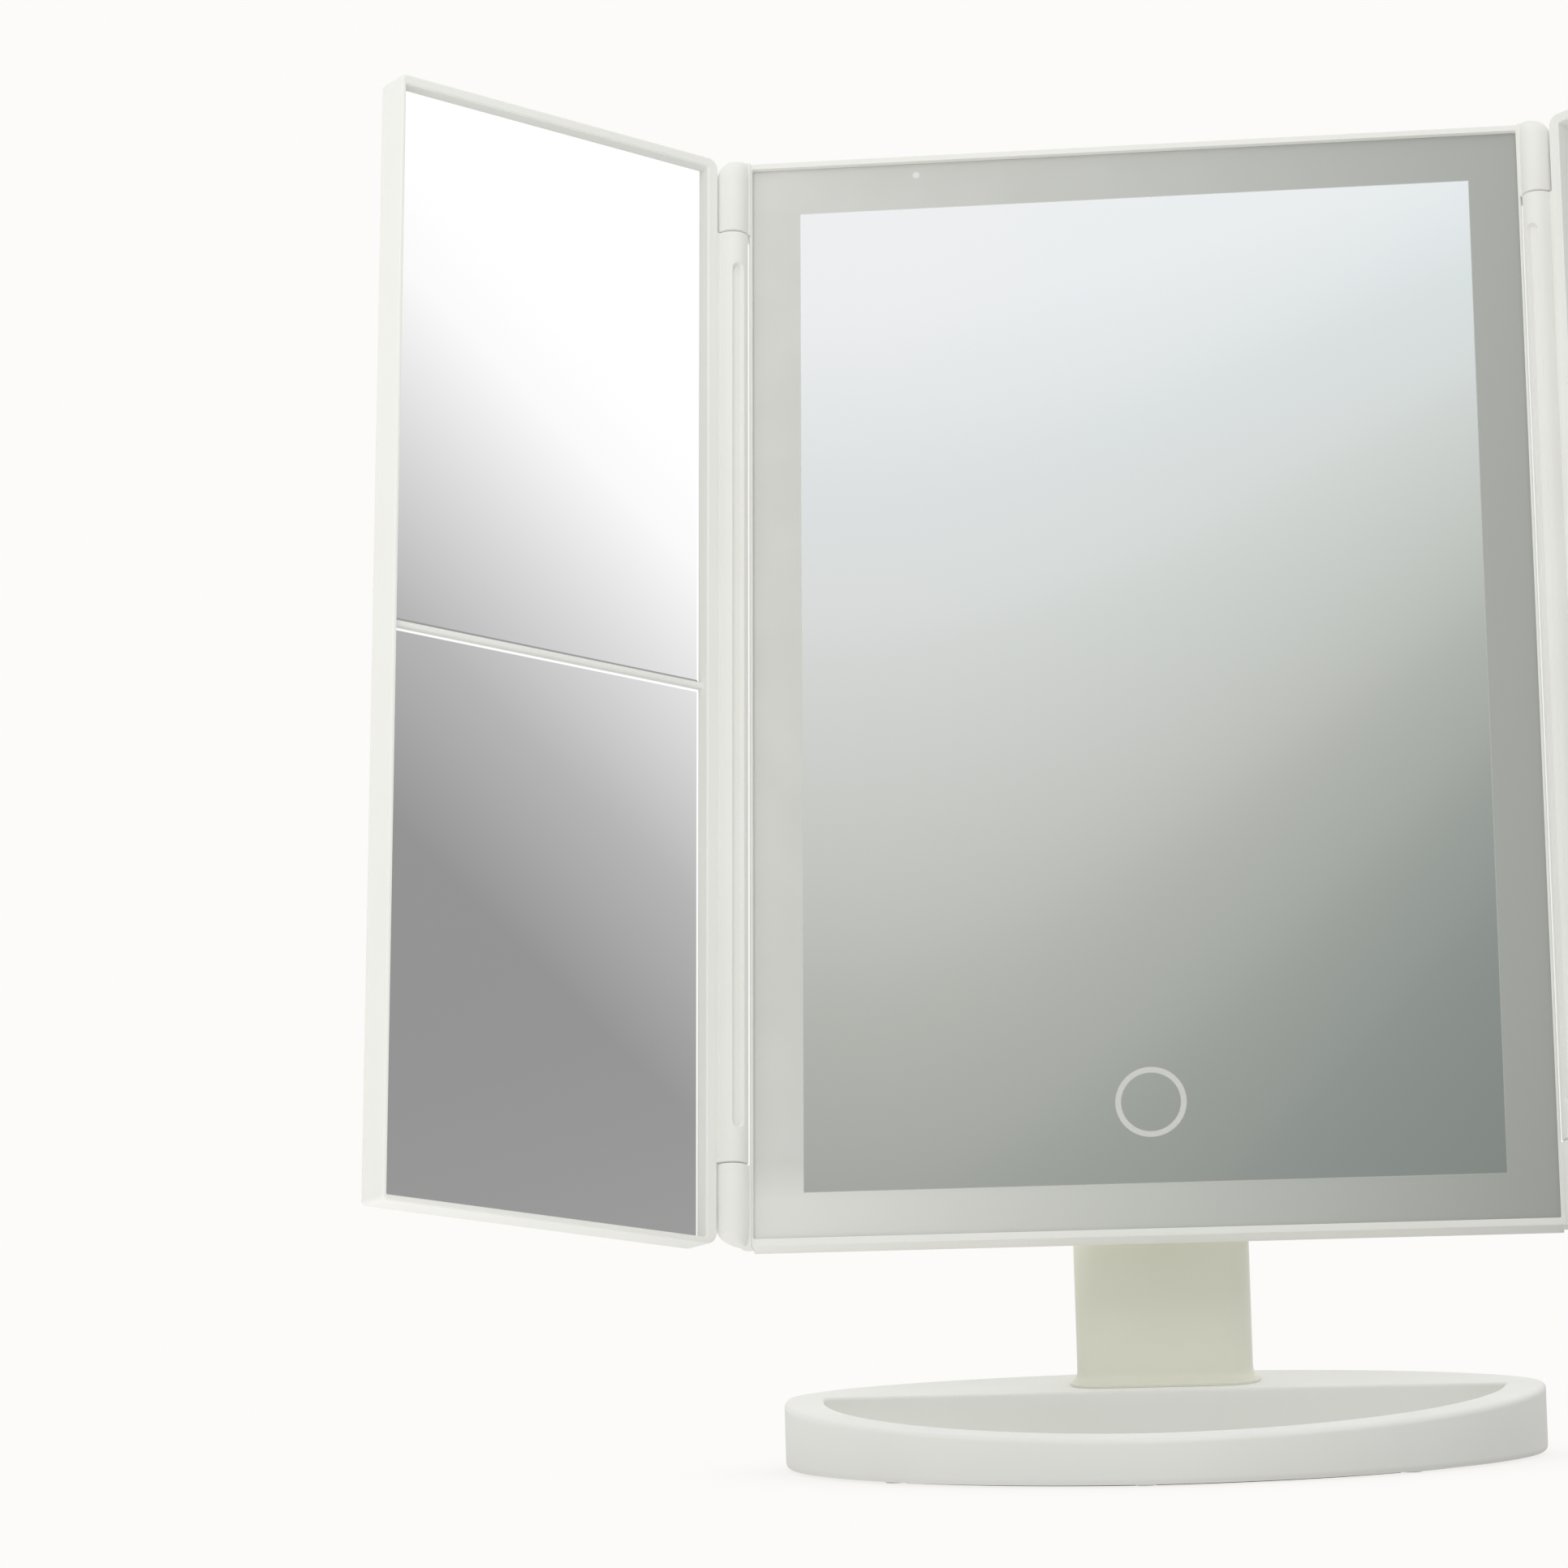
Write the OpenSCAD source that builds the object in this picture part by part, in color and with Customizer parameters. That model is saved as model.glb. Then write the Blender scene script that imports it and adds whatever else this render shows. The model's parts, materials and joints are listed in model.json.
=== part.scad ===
// Trifold vanity mirror: a lit centre mirror with two folding wings, on a neck and a tray base.
// Front faces -Y, up is +Z. Origin: middle of the base's underside, below the centre of the neck line.

/* [Pose] */
// Lean of the head behind upright, degrees
lean = 12.45; // [0:0.05:20]
// Angle of each wing in front of the plane of the centre mirror, degrees
wing_open = 43.7; // [10:0.1:90]

/* [Centre mirror] */
// Width of the opening that the centre glass fills
opening_w = 168.56; // [140:0.1:200]
// Height of the opening that the centre glass fills
opening_h = 241.8; // [180:0.1:280]
// Thickness of the centre glass
glass_t = 3; // [2:0.5:4]
// Depth of the glass behind the front of the lip
glass_recess = 1.5; // [0.5:0.1:3]
// Gap round each glass pane
glass_gap = 0.1; // [0.05:0.05:0.3]
// Thickness of the frame beside the centre glass
side_wall = 0.62; // [0.5:0.02:1]
// Thickness of the frame above and below the centre glass
end_wall = 1.3; // [1:0.1:3]
// Depth of the front frame
bezel_depth = 7; // [6.5:0.1:9]
// Width of the ledge that the glass rests on
ledge_w = 6.3; // [6:0.1:8]
// Width of the frosted border that the light shines through
border_w = 10.6; // [9:0.1:14]
// Diameter of the touch spot
touch_d = 15; // [10:0.5:20]
// Height of the touch spot below the middle of the glass
touch_drop = 93.3; // [60:0.1:100]
// Thickness of the touch foil
foil_t = 0.3; // [0.2:0.1:0.6]

/* [Rear housing] */
// Depth of the whole head, front lip to back
head_depth = 14; // [13:0.1:18]
// Wall of the rear housing
shell_wall = 1.6; // [1.2:0.1:2]
// Radius of the housing's rear edges
rear_round = 6; // [4:0.1:6.5]
// Distance of the screws from the outside of the housing
boss_inset = 4.4; // [4.2:0.1:5]
// Radius of the screw bosses
boss_r = 2.6; // [2.4:0.1:3]
// Radius of the small screws' shafts
screw_r = 1; // [0.8:0.1:1.2]
// Radius of the small screws' heads
screw_head_r = 2; // [1.8:0.1:2.2]
// Height of the small screws' heads
screw_head_h = 1.2; // [1:0.1:1.5]
// Gap round screws in their holes
screw_gap = 0.1; // [0.05:0.05:0.2]
// Depth of the screw heads' seats below the housing's inside face
head_sink = 0.6; // [0.4:0.1:0.8]

/* [Light] */
// Thickness of the opal diffuser
diffuser_t = 1; // [0.6:0.1:1.5]
// Width of the light strips
strip_w = 4; // [3:0.1:4.5]
// Thickness of the light strips' tape
strip_t = 0.4; // [0.2:0.1:0.6]
// Length of a light chip
chip_l = 3.5; // [2:0.1:5]
// Width of a light chip
chip_w = 2.8; // [1.6:0.1:3]
// Height of a light chip
chip_h = 1.2; // [0.6:0.1:1.4]
// Distance between light chips
chip_pitch = 13; // [10:0.5:25]
// Front face of the back plate, behind the lip
plate_at = 8; // [7.5:0.1:8.4]
// Thickness of the back plate
plate_t = 1.2; // [1:0.1:1.4]
// Gap round the back plate and the diffuser
plate_gap = 0.5; // [0.3:0.1:1]
// Lap of the diffuser behind the silvered part of the glass
diffuser_lap = 1; // [0.5:0.1:2]
// Distance of the light strips from the back plate's edges
strip_inset = 0.5; // [0.2:0.1:1]
// Distance of the top and bottom strips' ends from the back plate's sides
strip_end = 6; // [5:0.5:12]
// Distance of the side strips' ends from the back plate's ends
strip_side_end = 11; // [6:0.5:16]
// Distance of the foam pad from the back plate's edges
foam_inset = 20; // [8:1:40]
// Gap round the touch foil in the foam pad
foam_gap = 1; // [0.5:0.1:3]

/* [Power] */
// Diameter of a battery cell
cell_d = 14.5; // [10.5:0.5:14.5]
// Length of a battery cell
cell_l = 50.5; // [44.5:0.5:50.5]
// Gap round the cells
cell_gap = 0.4; // [0.3:0.1:0.8]
// Wall of the battery box
box_wall = 1.6; // [1.2:0.1:2]
// Room at the ends of the cells for the contacts
contact_room = 4; // [3.5:0.1:5]
// Gap between a cell and its contact
contact_gap = 0.3; // [0.1:0.05:0.5]
// Radius of the button on a cell's end
button_r = 2.7; // [2:0.1:3]
// Height of the button on a cell's end
button_h = 1; // [0.5:0.1:1.5]
// Width of a battery contact
contact_w = 8; // [6:0.5:9]
// Height of the middle of the battery box above the middle of the glass
box_z = -58; // [-64:0.5:-50]
// Thickness of the battery cover
cover_t = 1.6; // [1.2:0.1:2]
// Gap round the battery cover
cover_gap = 0.3; // [0.2:0.05:0.5]
// Gap between the battery cover and its ledge
cover_seat = 0.1; // [0.05:0.05:0.2]
// Width of the circuit board
board_w = 64; // [50:1:70]
// Height of the circuit board
board_h = 22; // [18:1:26]
// Thickness of the circuit board
board_t = 1.2; // [0.8:0.1:1.4]
// Height of the middle of the board above the middle of the glass
board_z = -20; // [-22:0.5:0]
// Distance of the socket and the switch from the ends of the board
port_inset = 10; // [7:0.5:14]
// Travel of the slide switch
switch_travel = 3; // [2:0.1:4]
// Length of the slide switch's knob
knob_l = 4; // [3:0.1:5]
// Height of the slide switch's knob across its travel
knob_w = 3; // [2:0.1:4]
// Gap round the knob and round the socket in the housing
port_gap = 0.3; // [0.2:0.05:0.5]
// Margin of the slide switch's body round its knob's path
switch_margin = 1.5; // [1:0.1:3]
// Height of the knob above the housing
knob_proud = 0.8; // [0.4:0.1:1.5]
// Width of the charging socket
usb_w = 7.6; // [7:0.1:9]
// Height of the charging socket
usb_h = 2.9; // [2.4:0.1:3.6]
// Wall of the charging socket
usb_wall = 0.4; // [0.3:0.05:0.5]
// Radius of the wires
wire_r = 0.6; // [0.4:0.1:1]
// Distance of the battery wires from the middle
wire_x = 12; // [4:1:28]
// Gap at the wires' ends
wire_gap = 0.2; // [0.1:0.05:0.3]

/* [Wing hinges] */
// Gap between the barrels and the sides of the centre frame
barrel_gap = 0.2; // [0.15:0.05:0.5]
// Distance of the hinge axis in front of the centre frame
hinge_front = 1; // [0.8:0.1:1.5]
// Radius of the hinge barrel
barrel_r = 3.4; // [2.6:0.05:3.8]
// Radius of the hinge pins
pin_r = 1.25; // [1:0.05:1.5]
// Running gap round the pins
pin_gap = 0.05; // [0.03:0.01:0.08]
// Length of the upper knuckle
knuckle_top = 17; // [12:0.5:20]
// Length of the lower knuckle
knuckle_bottom = 17.3; // [12:0.1:20]
// Radius of the knuckles' outer corners, seen from the front
knuckle_corner = 4.5; // [3:0.1:5.5]
// Distance of the knuckles' webs behind the hinge axis
knuckle_web = 0.4; // [0.2:0.1:1]
// Gap between knuckle and barrel
knuckle_gap = 0.3; // [0.2:0.05:0.5]
// Length of each pin inside the barrel, and inside the knuckle
pin_hold = 9; // [6:0.5:11]
// Width of the groove along the barrel
groove_w = 2.6; // [1.5:0.1:3.2]
// Depth of the groove along the barrel
groove_depth = 1.1; // [0.5:0.1:1.4]
// Distance of the groove's ends from the barrel's ends
groove_end = 7.5; // [4:0.1:12]
// Turn of the groove from the wing's front towards its free edge, degrees
groove_turn = 11.7; // [-30:0.1:45]
// Front face of the web between barrel and wing, behind the hinge axis
web_front = 0.1; // [0.1:0.1:1.5]

/* [Wings] */
// Reach of a wing from its hinge axis
wing_w = 86.67; // [70:0.01:87.4]
// Thickness of a wing
wing_t = 9; // [8.5:0.1:10]
// Gap between the knuckles and a wing's frame
wing_gap = 0.4; // [0.3:0.05:1]
// Width of the frame above the wing's mirror
wing_lip_top = 2.33; // [1:0.01:4]
// Width of the frame below the wing's mirror
wing_lip_bottom = 1.31; // [1:0.01:4]
// Width of the frame at the wing's free edge
wing_lip_outer = 1.05; // [1:0.01:4]
// Width of the frame at the hinge
wing_lip_hinge = 2.85; // [1.5:0.01:6]
// Depth of the wing's mirror behind its frame
wing_recess = 3; // [1:0.1:3.5]
// Thickness of the wing's mirror panes
pane_t = 1.8; // [1.2:0.1:2]
// Thickness of the foam tape behind the panes
tape_t = 0.6; // [0.4:0.1:1]
// Distance of the foam tape from the edges of its pane
tape_inset = 3; // [1:0.5:10]
// Thickness of the wing's floor behind the tape
wing_floor = 1.2; // [1:0.1:1.4]
// Thickness of the wing's back cover
wing_back_t = 2; // [1.5:0.1:2]
// Height of the bar between the two panes
divider_h = 1.3; // [1:0.1:4]
// Height of the middle of the bar above the middle of the wing
divider_z = 0.25; // [-20:0.05:20]
// Depth of the bar behind the front of the frame
divider_recess = 1.9; // [0.5:0.1:2.4]
// Radius of the wing's corners at the hinge
wing_corner = 2.5; // [2:0.1:6]
// Radius of the wing's outer corners
wing_outer_corner = 1.2; // [0.5:0.1:3]

/* [Neck] */
// Width of the neck
neck_w = 37.2; // [34:0.1:44]
// Thickness of the neck, front to back
neck_d = 14; // [14:0.1:16]
// Distance of the neck's middle behind the base's widest line
neck_y = 13; // [13:0.1:16]
// Height of the tilt axis above the table
tilt_z = 66; // [60:0.5:80]
// Height of the tilt axis above the lower edge of the head
tilt_rise = 23.7; // [22:0.1:28]
// Gap between the neck's top and the back of the head
tilt_gap = 1.2; // [0.8:0.1:2]
// Wall of the neck's shells
neck_wall = 1.8; // [1.4:0.1:2]
// Radius of the neck's upright edges
neck_corner = 5; // [3:0.1:6]
// Height of the flare at the neck's foot
foot_h = 2.6; // [2:0.1:4]
// Reach of the flare beyond the neck
foot_flare = 1.6; // [1:0.1:2.5]
// Width of the steel core inside the neck
core_w = 20; // [16:0.5:24]
// Thickness of the steel core
core_t = 5; // [4:0.1:6]
// Width of the core's foot plate
core_plate_w = 34; // [30:0.5:40]
// Thickness of the core's foot plate
core_plate_t = 4; // [3:0.1:5]
// Distance of the foot plate's screws from its ends
core_screw_in = 4; // [3:0.1:5]
// Radius of the bush at the top of the core
bush_r = 4.6; // [4:0.1:5]
// Radius of the tilt pin
tilt_pin_r = 2.5; // [2:0.1:2.8]
// Thickness of each friction washer
washer_t = 0.6; // [0.4:0.1:1]
// Gap beside each washer
washer_gap = 0.1; // [0.05:0.05:0.2]
// Thickness of the tilt bracket's sheet
bracket_t = 2; // [1.5:0.1:2.4]
// Radius of the bracket's ears
ear_r = 6; // [5:0.1:6.5]
// Width of the bracket's plate
bracket_w = 64; // [58:1:80]
// Margin of the bracket's plate above and below the ears
bracket_margin = 2; // [1:0.1:4]
// Distance of the bracket's screws from the plate's ends
bracket_screw_in = 4; // [3:0.1:6]
// Distance of the bracket's screws above and below the tilt axis
bracket_screw_z = 5; // [3:0.1:5.5]
// Radius of the tilt nut's corners
nut_r = 4.6; // [4:0.1:5.5]
// Thickness of the tilt nut
nut_t = 3; // [2:0.1:4]
// Thickness of the tilt pin's head
pin_head_t = 2; // [1.5:0.1:3]

/* [Base] */
// Half of the base's width
base_half_w = 80; // [70:0.5:95]
// Depth of the base in front of its widest line
base_front = 72; // [60:0.5:80]
// Depth of the base behind its widest line
base_rear = 31; // [29:0.5:50]
// Fullness of the base's outline, 2 is an ellipse
base_power = 1.85; // [1.7:0.05:2.6]
// Height of the base at its widest line
base_h = 14.87; // [13:0.01:20]
// Fall of the base's top towards the front, mm a mm
base_fall = 0.074; // [0:0.002:0.09]
// Width of the rim round the well
rim_w = 8.4; // [6:0.1:12]
// Distance of the well's straight rear side in front of the widest line
well_rear = 0.33; // [0:0.01:6]
// Height of the well's floor above the table
well_floor = 4.4; // [4.2:0.1:6]
// Wall of the base
base_wall = 2; // [1.6:0.1:2.4]
// Thickness of the rubber pad
pad_t = 1.2; // [0.8:0.1:2]
// Gap between the base's edge and the table
table_gap = 0.4; // [0.2:0.1:0.7]
// Distance of the pad's edge from the base's edge
pad_inset = 5; // [3:0.5:10]
// Thickness of the bottom plate
bottom_t = 1.6; // [1.2:0.1:1.8]
// Gap round the bottom plate
bottom_gap = 0.2; // [0.1:0.05:0.4]
// Room above the steel weight
weight_room = 1; // [0.5:0.1:4]
// Gap round the steel weight
weight_gap = 0.5; // [0.3:0.1:1]
// Distance of the side screws from the base's widest points
side_screw_in = 12.4; // [11:0.1:20]
// Distance of the side screws in front of the neck's middle
side_screw_fore = 4; // [0:0.5:6]
// Distance of the rear screws from the core's foot plate
rear_screw_out = 12; // [4:0.5:20]
// Distance of the rear screws behind the neck's middle
rear_screw_back = 4; // [0:0.5:6]
// Length of the base screws' shafts
base_screw_l = 5; // [4:0.1:5.4]
// Number of straight stretches round the base's outline
outline_steps = 96; // [48:8:144]

/* [Hidden] */
$fn = 64;
eps = 0.01;          // overlap that joins the pieces of one solid
far = 400;           // longer than any side of the object

outer_w = opening_w + 2 * side_wall;
hinge_x = outer_w / 2 + barrel_gap + barrel_r;
wing_start = barrel_r + wing_gap;
port_x = board_w / 2 - port_inset;
outer_h = opening_h + 2 * end_wall;
glass_w = opening_w - 2 * glass_gap;
glass_h = opening_h - 2 * glass_gap;
glass_back = glass_recess + glass_t;
tilt_depth = head_depth + tilt_gap + neck_d / 2;
tilt_v = tilt_rise - outer_h / 2;
inner_back = head_depth - shell_wall;      // inside face of the housing's back
plate_back = plate_at + plate_t;
plate_w = opening_w - 2 * (ledge_w + plate_gap);
plate_h = opening_h - 2 * (ledge_w + plate_gap);
strip_z = plate_h / 2 - strip_w / 2 - strip_inset;
strip_x = plate_w / 2 - strip_w / 2 - strip_inset;
boss_x = outer_w / 2 - boss_inset;
boss_z = outer_h / 2 - boss_inset;
housing_bosses = [for (x = [-boss_x, boss_x], z = [-boss_z, 0, boss_z]) [x, z]];
bay_w = 2 * (cell_l + contact_room) + 2 * cell_gap;
bay_h = 2 * cell_d + 3 * cell_gap;
bay_back = plate_back + cell_gap + cell_d + cell_gap;
box_back = bay_back + cover_t;
box_w = bay_w + 2 * box_wall;
cell_x = (cell_l + contact_room + cell_gap) / 2;      // cells stand at +-x, +-z in the bay
cell_z = (cell_d + cell_gap) / 2;
cell_y = plate_back + cell_gap + cell_d / 2;
box_h = bay_h + 2 * box_wall;
board_back = plate_back + board_t;
barrel_top = outer_h / 2 - knuckle_top - knuckle_gap;
barrel_bottom = knuckle_bottom + knuckle_gap - outer_h / 2;
wing_mirror_top = outer_h / 2 - wing_lip_top;
wing_mirror_bottom = wing_lip_bottom - outer_h / 2;
wing_mirror_in = wing_start + wing_lip_hinge;
wing_mirror_out = wing_w - wing_lip_outer;
pane_back = wing_recess + pane_t;
tape_back = pane_back + tape_t;
wing_frame_t = wing_t - wing_back_t;
ear_x = neck_w / 2 + washer_t + 2 * washer_gap;     // inside face of an ear
deck_angle = atan(base_fall);
bottom_at = pad_t;
bottom_top = bottom_at + bottom_t;
weight_t = base_h - base_wall - weight_room - bottom_top;
core_plate_d = neck_d - 2;
core_screws = [for (s = [-1, 1]) [s * (core_plate_w / 2 - core_screw_in), neck_y]];

// --- shared shapes -------------------------------------------------------------

// Box centred on x and z, from depth y0 to y1
module slab(w, h, y0, y1) {
    translate([-w / 2, y0, -h / 2]) cube([w, y1 - y0, h]);
}

// Cylinder along the depth, from y0 to y1
module rod_y(r, y0, y1) {
    translate([0, y1, 0]) rotate([90, 0, 0]) cylinder(r = r, h = y1 - y0);
}

// Cylinder along the width, from x0 to x1
module rod_x(r, x0, x1) {
    translate([x0, 0, 0]) rotate([0, 90, 0]) cylinder(r = r, h = x1 - x0);
}

// Square-cornered front and rounded back, in the plane of width and depth
module round_back(half, y0, y1, r) {
    intersection() {
        union() {
            translate([-half, y0]) square([2 * half, y1 - r - y0]);
            translate([r - half, y0]) square([2 * (half - r), y1 - y0]);
            for (s = [-1, 1]) translate([s * (half - r), y1 - r]) circle(r = r);
        }
        translate([-half, y0]) square([2 * half, y1 - y0]);
    }
}

// Block whose four rear edges are rounded
module soft_block(w, h, y0, y1, r) {
    intersection() {
        translate([0, 0, -h / 2]) linear_extrude(h) round_back(w / 2, y0, y1, r);
        rotate([0, 90, 0]) translate([0, 0, -w / 2]) linear_extrude(w)
            round_back(h / 2, y0, y1, r);
    }
}

// Rectangle from x0 to x1 and z0 to z1 with rounded corners, ra at x0 and rb at x1
module rounded_plate(x0, x1, z0, z1, ra, rb) {
    union() {
        translate([x0 + ra, z0]) square([x1 - rb - x0 - ra, z1 - z0]);
        translate([x0, z0 + ra]) square([ra + eps, z1 - z0 - 2 * ra]);
        translate([x1 - rb - eps, z0 + rb]) square([rb + eps, z1 - z0 - 2 * rb]);
        for (z = [z0 + ra, z1 - ra]) translate([x0 + ra, z]) circle(r = ra);
        for (z = [z0 + rb, z1 - rb]) translate([x1 - rb, z]) circle(r = rb);
    }
}

// Carries the head's own frame (x right, y to the back, z up its face, origin at the
// middle of the front lip) to its leaning place on the tilt axis
module in_head() {
    translate([0, neck_y, tilt_z]) rotate([-lean, 0, 0])
        translate([0, -tilt_depth, -tilt_v]) children();
}

// Carries a wing's own frame (x outward from the hinge axis is -X, y to its back) to the left
module in_left_wing() {
    in_head() translate([-hinge_x, -hinge_front, 0]) rotate([0, 0, wing_open])
        mirror([1, 0, 0]) children();
}

module in_right_wing() {
    mirror([1, 0, 0]) in_left_wing() children();
}

// --- base ----------------------------------------------------------------------

function signed_pow(v, p) = sign(v) * pow(abs(v), p);

// Outline of the base drawn in by an inset: two half ovals on one widest line
module base_outline(inset) {
    a = base_half_w - inset;
    polygon([for (i = [0 : outline_steps - 1])
        let (t = 360 * (i + 0.5) / outline_steps, b = (t < 180 ? base_rear : base_front) - inset)
        [a * signed_pow(cos(t), 2 / base_power), b * signed_pow(sin(t), 2 / base_power)]]);
}

// Everything below the base's sloping top, lowered by a drop
module below_deck(drop) {
    translate([0, 0, base_h - drop]) rotate([deck_angle, 0, 0])
        translate([-far / 2, -far / 2, -far / 4]) cube([far, far, far / 4]);
}

// Half-moon outline of the well, grown by a margin
module well_outline(grow) {
    intersection() {
        base_outline(rim_w - grow);
        translate([-far / 2, -far - well_rear + grow]) square([far, far]);
    }
}

// Point on the middle of the rim in front of the widest line, t from 180 to 360 degrees
function rim_point(t) = [(base_half_w - rim_w / 2) * signed_pow(cos(t), 2 / base_power),
    (base_front - rim_w / 2) * signed_pow(sin(t), 2 / base_power)];

// Screws of the base: under the rim, behind the well's ends and beside the neck
base_screw_places = [for (t = [225, 270, 315]) rim_point(t),
    for (s = [-1, 1]) [s * (base_half_w - side_screw_in), neck_y - side_screw_fore],
    for (s = [-1, 1]) [s * (core_plate_w / 2 + rear_screw_out), neck_y + rear_screw_back]];

module base_tray() {
    color([0.90, 0.90, 0.87]) difference() {
        intersection() {
            translate([0, 0, table_gap]) linear_extrude(base_h * 2) base_outline(0);
            below_deck(0);
        }
        translate([0, 0, well_floor]) linear_extrude(far) well_outline(0);
        intersection() {
            linear_extrude(far / 2) difference() {
                base_outline(base_wall);
                well_outline(base_wall);
                for (p = base_screw_places) translate(p) circle(r = boss_r);
            }
            below_deck(base_wall);
        }
        linear_extrude(bottom_top) base_outline(base_wall - bottom_gap);
        translate([-core_w / 2 - screw_gap, neck_y - core_t / 2 - screw_gap, 0])
            cube([core_w + 2 * screw_gap, core_t + 2 * screw_gap, far]);
        for (p = base_screw_places) translate([p.x, p.y, 0])
            cylinder(r = screw_r + screw_gap, h = bottom_top + base_screw_l);
    }
}

module base_bottom_plate() {
    color([0.85, 0.85, 0.83]) difference() {
        translate([0, 0, bottom_at]) linear_extrude(bottom_t) base_outline(base_wall);
        for (p = concat(base_screw_places, core_screws)) translate([p.x, p.y, 0])
            cylinder(r = screw_r + screw_gap, h = far);
    }
}

module base_pad() {
    color([0.20, 0.20, 0.21]) difference() {
        linear_extrude(pad_t) base_outline(pad_inset);
        for (p = concat(base_screw_places, core_screws)) translate([p.x, p.y, -1])
            cylinder(r = screw_head_r + 0.4, h = pad_t + 2);
    }
}

// Two steel blocks that lie in the hollow behind the well, beside the neck's foot
module weight_plate() {
    color([0.55, 0.56, 0.58]) translate([0, 0, bottom_top]) linear_extrude(weight_t)
        difference() {
            base_outline(base_wall + weight_gap);
            translate([-far / 2, base_wall + weight_gap - well_rear - far]) square([far, far]);
            translate([-core_plate_w / 2 - weight_gap, 0])
                square([core_plate_w + 2 * weight_gap, far]);
            for (p = base_screw_places) translate(p) circle(r = boss_r + weight_gap);
        }
}

module base_screws() {
    color([0.75, 0.75, 0.76]) for (p = concat(base_screw_places, core_screws))
        translate([p.x, p.y, 0]) {
            translate([0, 0, 0.1]) cylinder(r = screw_head_r, h = bottom_at - 0.1);
            translate([0, 0, bottom_at - eps]) cylinder(r = screw_r, h = base_screw_l);
        }
}

// --- neck ----------------------------------------------------------------------

// Steel core: foot plate, flat bar and the bush that the tilt pin turns in
module neck_core() {
    color([0.62, 0.63, 0.65]) difference() {
        union() {
            translate([-core_plate_w / 2, neck_y - core_plate_d / 2, bottom_top])
                cube([core_plate_w, core_plate_d, core_plate_t]);
            translate([-core_w / 2, neck_y - core_t / 2, bottom_top])
                cube([core_w, core_t, tilt_z - bottom_top]);
            translate([0, neck_y, tilt_z]) rod_x(bush_r, -neck_w / 2, neck_w / 2);
        }
        translate([0, neck_y, tilt_z]) rod_x(tilt_pin_r + pin_gap, -neck_w, neck_w);
        for (p = core_screws) translate([p.x, p.y, 0]) cylinder(r = screw_r + screw_gap, h = far);
    }
}

// Rounded upright bar, from the table to its round top, drawn in by an inset
module neck_solid(inset) {
    w = neck_w / 2 - inset;
    d = neck_d / 2 - inset;
    intersection() {
        translate([0, neck_y, 0]) linear_extrude(far) rounded_plate(-w, w, -d, d,
            neck_corner - inset / 2, neck_corner - inset / 2);
        translate([-far / 2, neck_y, 0]) rotate([90, 0, 90]) linear_extrude(far) union() {
            translate([-d, 0]) square([2 * d, tilt_z]);
            translate([0, tilt_z]) circle(r = d);
        }
    }
}

// Both shells of the neck with the flared foot, still one tube
module neck_tube() {
    difference() {
        union() {
            neck_solid(0);
            translate([0, neck_y, 0]) linear_extrude(base_h + base_fall * neck_y + foot_h)
                rounded_plate(-neck_w / 2 - foot_flare, neck_w / 2 + foot_flare,
                    -neck_d / 2 - foot_flare, neck_d / 2 + foot_flare,
                    neck_corner + foot_flare, neck_corner + foot_flare);
        }
        neck_solid(neck_wall);
        below_deck(0);
        translate([0, neck_y, tilt_z]) rod_x(bush_r + 0.1, -neck_w, neck_w);
    }
}

module neck_front_shell() {
    color([0.90, 0.90, 0.87]) difference() {
        neck_tube();
        translate([-far / 2, neck_y, 0]) cube([far, far, far]);
    }
}

module neck_rear_shell() {
    color([0.90, 0.90, 0.87]) intersection() {
        neck_tube();
        translate([-far / 2, neck_y, 0]) cube([far, far, far]);
    }
}

// --- head: front ---------------------------------------------------------------

// Upper knuckle on the frame's left side, with a ball end and its outer corner rounded
module knuckle(length) {
    x0 = -hinge_x - barrel_r;
    z1 = outer_h / 2;
    intersection() {
        union() {
            translate([-hinge_x, -hinge_front, z1 - length]) {
                cylinder(r = barrel_r, h = length - barrel_r);
                translate([0, 0, length - barrel_r]) sphere(r = barrel_r);
            }
            block(-hinge_x, eps - outer_w / 2, knuckle_web - hinge_front, bezel_depth - 2,
                z1 - length, z1);
        }
        translate([0, far / 2, 0]) rotate([90, 0, 0]) linear_extrude(far) union() {
            translate([x0 + knuckle_corner, 0]) square([hinge_x, z1]);
            translate([x0, 0]) square([hinge_x, z1 - knuckle_corner]);
            translate([x0 + knuckle_corner, z1 - knuckle_corner]) circle(r = knuckle_corner);
        }
    }
}

module centre_bezel() {
    color([0.92, 0.92, 0.89]) in_head() difference() {
        union() {
            slab(outer_w, outer_h, 0, bezel_depth);
            for (m = [0, 1]) mirror([m, 0, 0]) {
                knuckle(knuckle_top);
                mirror([0, 0, 1]) knuckle(knuckle_bottom);
            }
        }
        slab(opening_w, opening_h, -1, glass_back);
        slab(opening_w - 2 * ledge_w, opening_h - 2 * ledge_w, 0, bezel_depth + 1);
        for (m = [0, 1]) mirror([m, 0, 0]) translate([-hinge_x, -hinge_front, 0]) {
            translate([0, 0, barrel_top]) cylinder(r = pin_r + pin_gap, h = pin_hold + 1);
            translate([0, 0, barrel_bottom - pin_hold - 1])
                cylinder(r = pin_r + pin_gap, h = pin_hold + 1);
        }
        for (p = housing_bosses) translate([p.x, 0, p.y])
            rod_y(screw_r + screw_gap, glass_back - eps, bezel_depth + 1);
    }
}

module centre_mirror() {
    color([0.78, 0.82, 0.83]) in_head() slab(glass_w, glass_h, glass_recess, glass_back);
}

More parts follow.
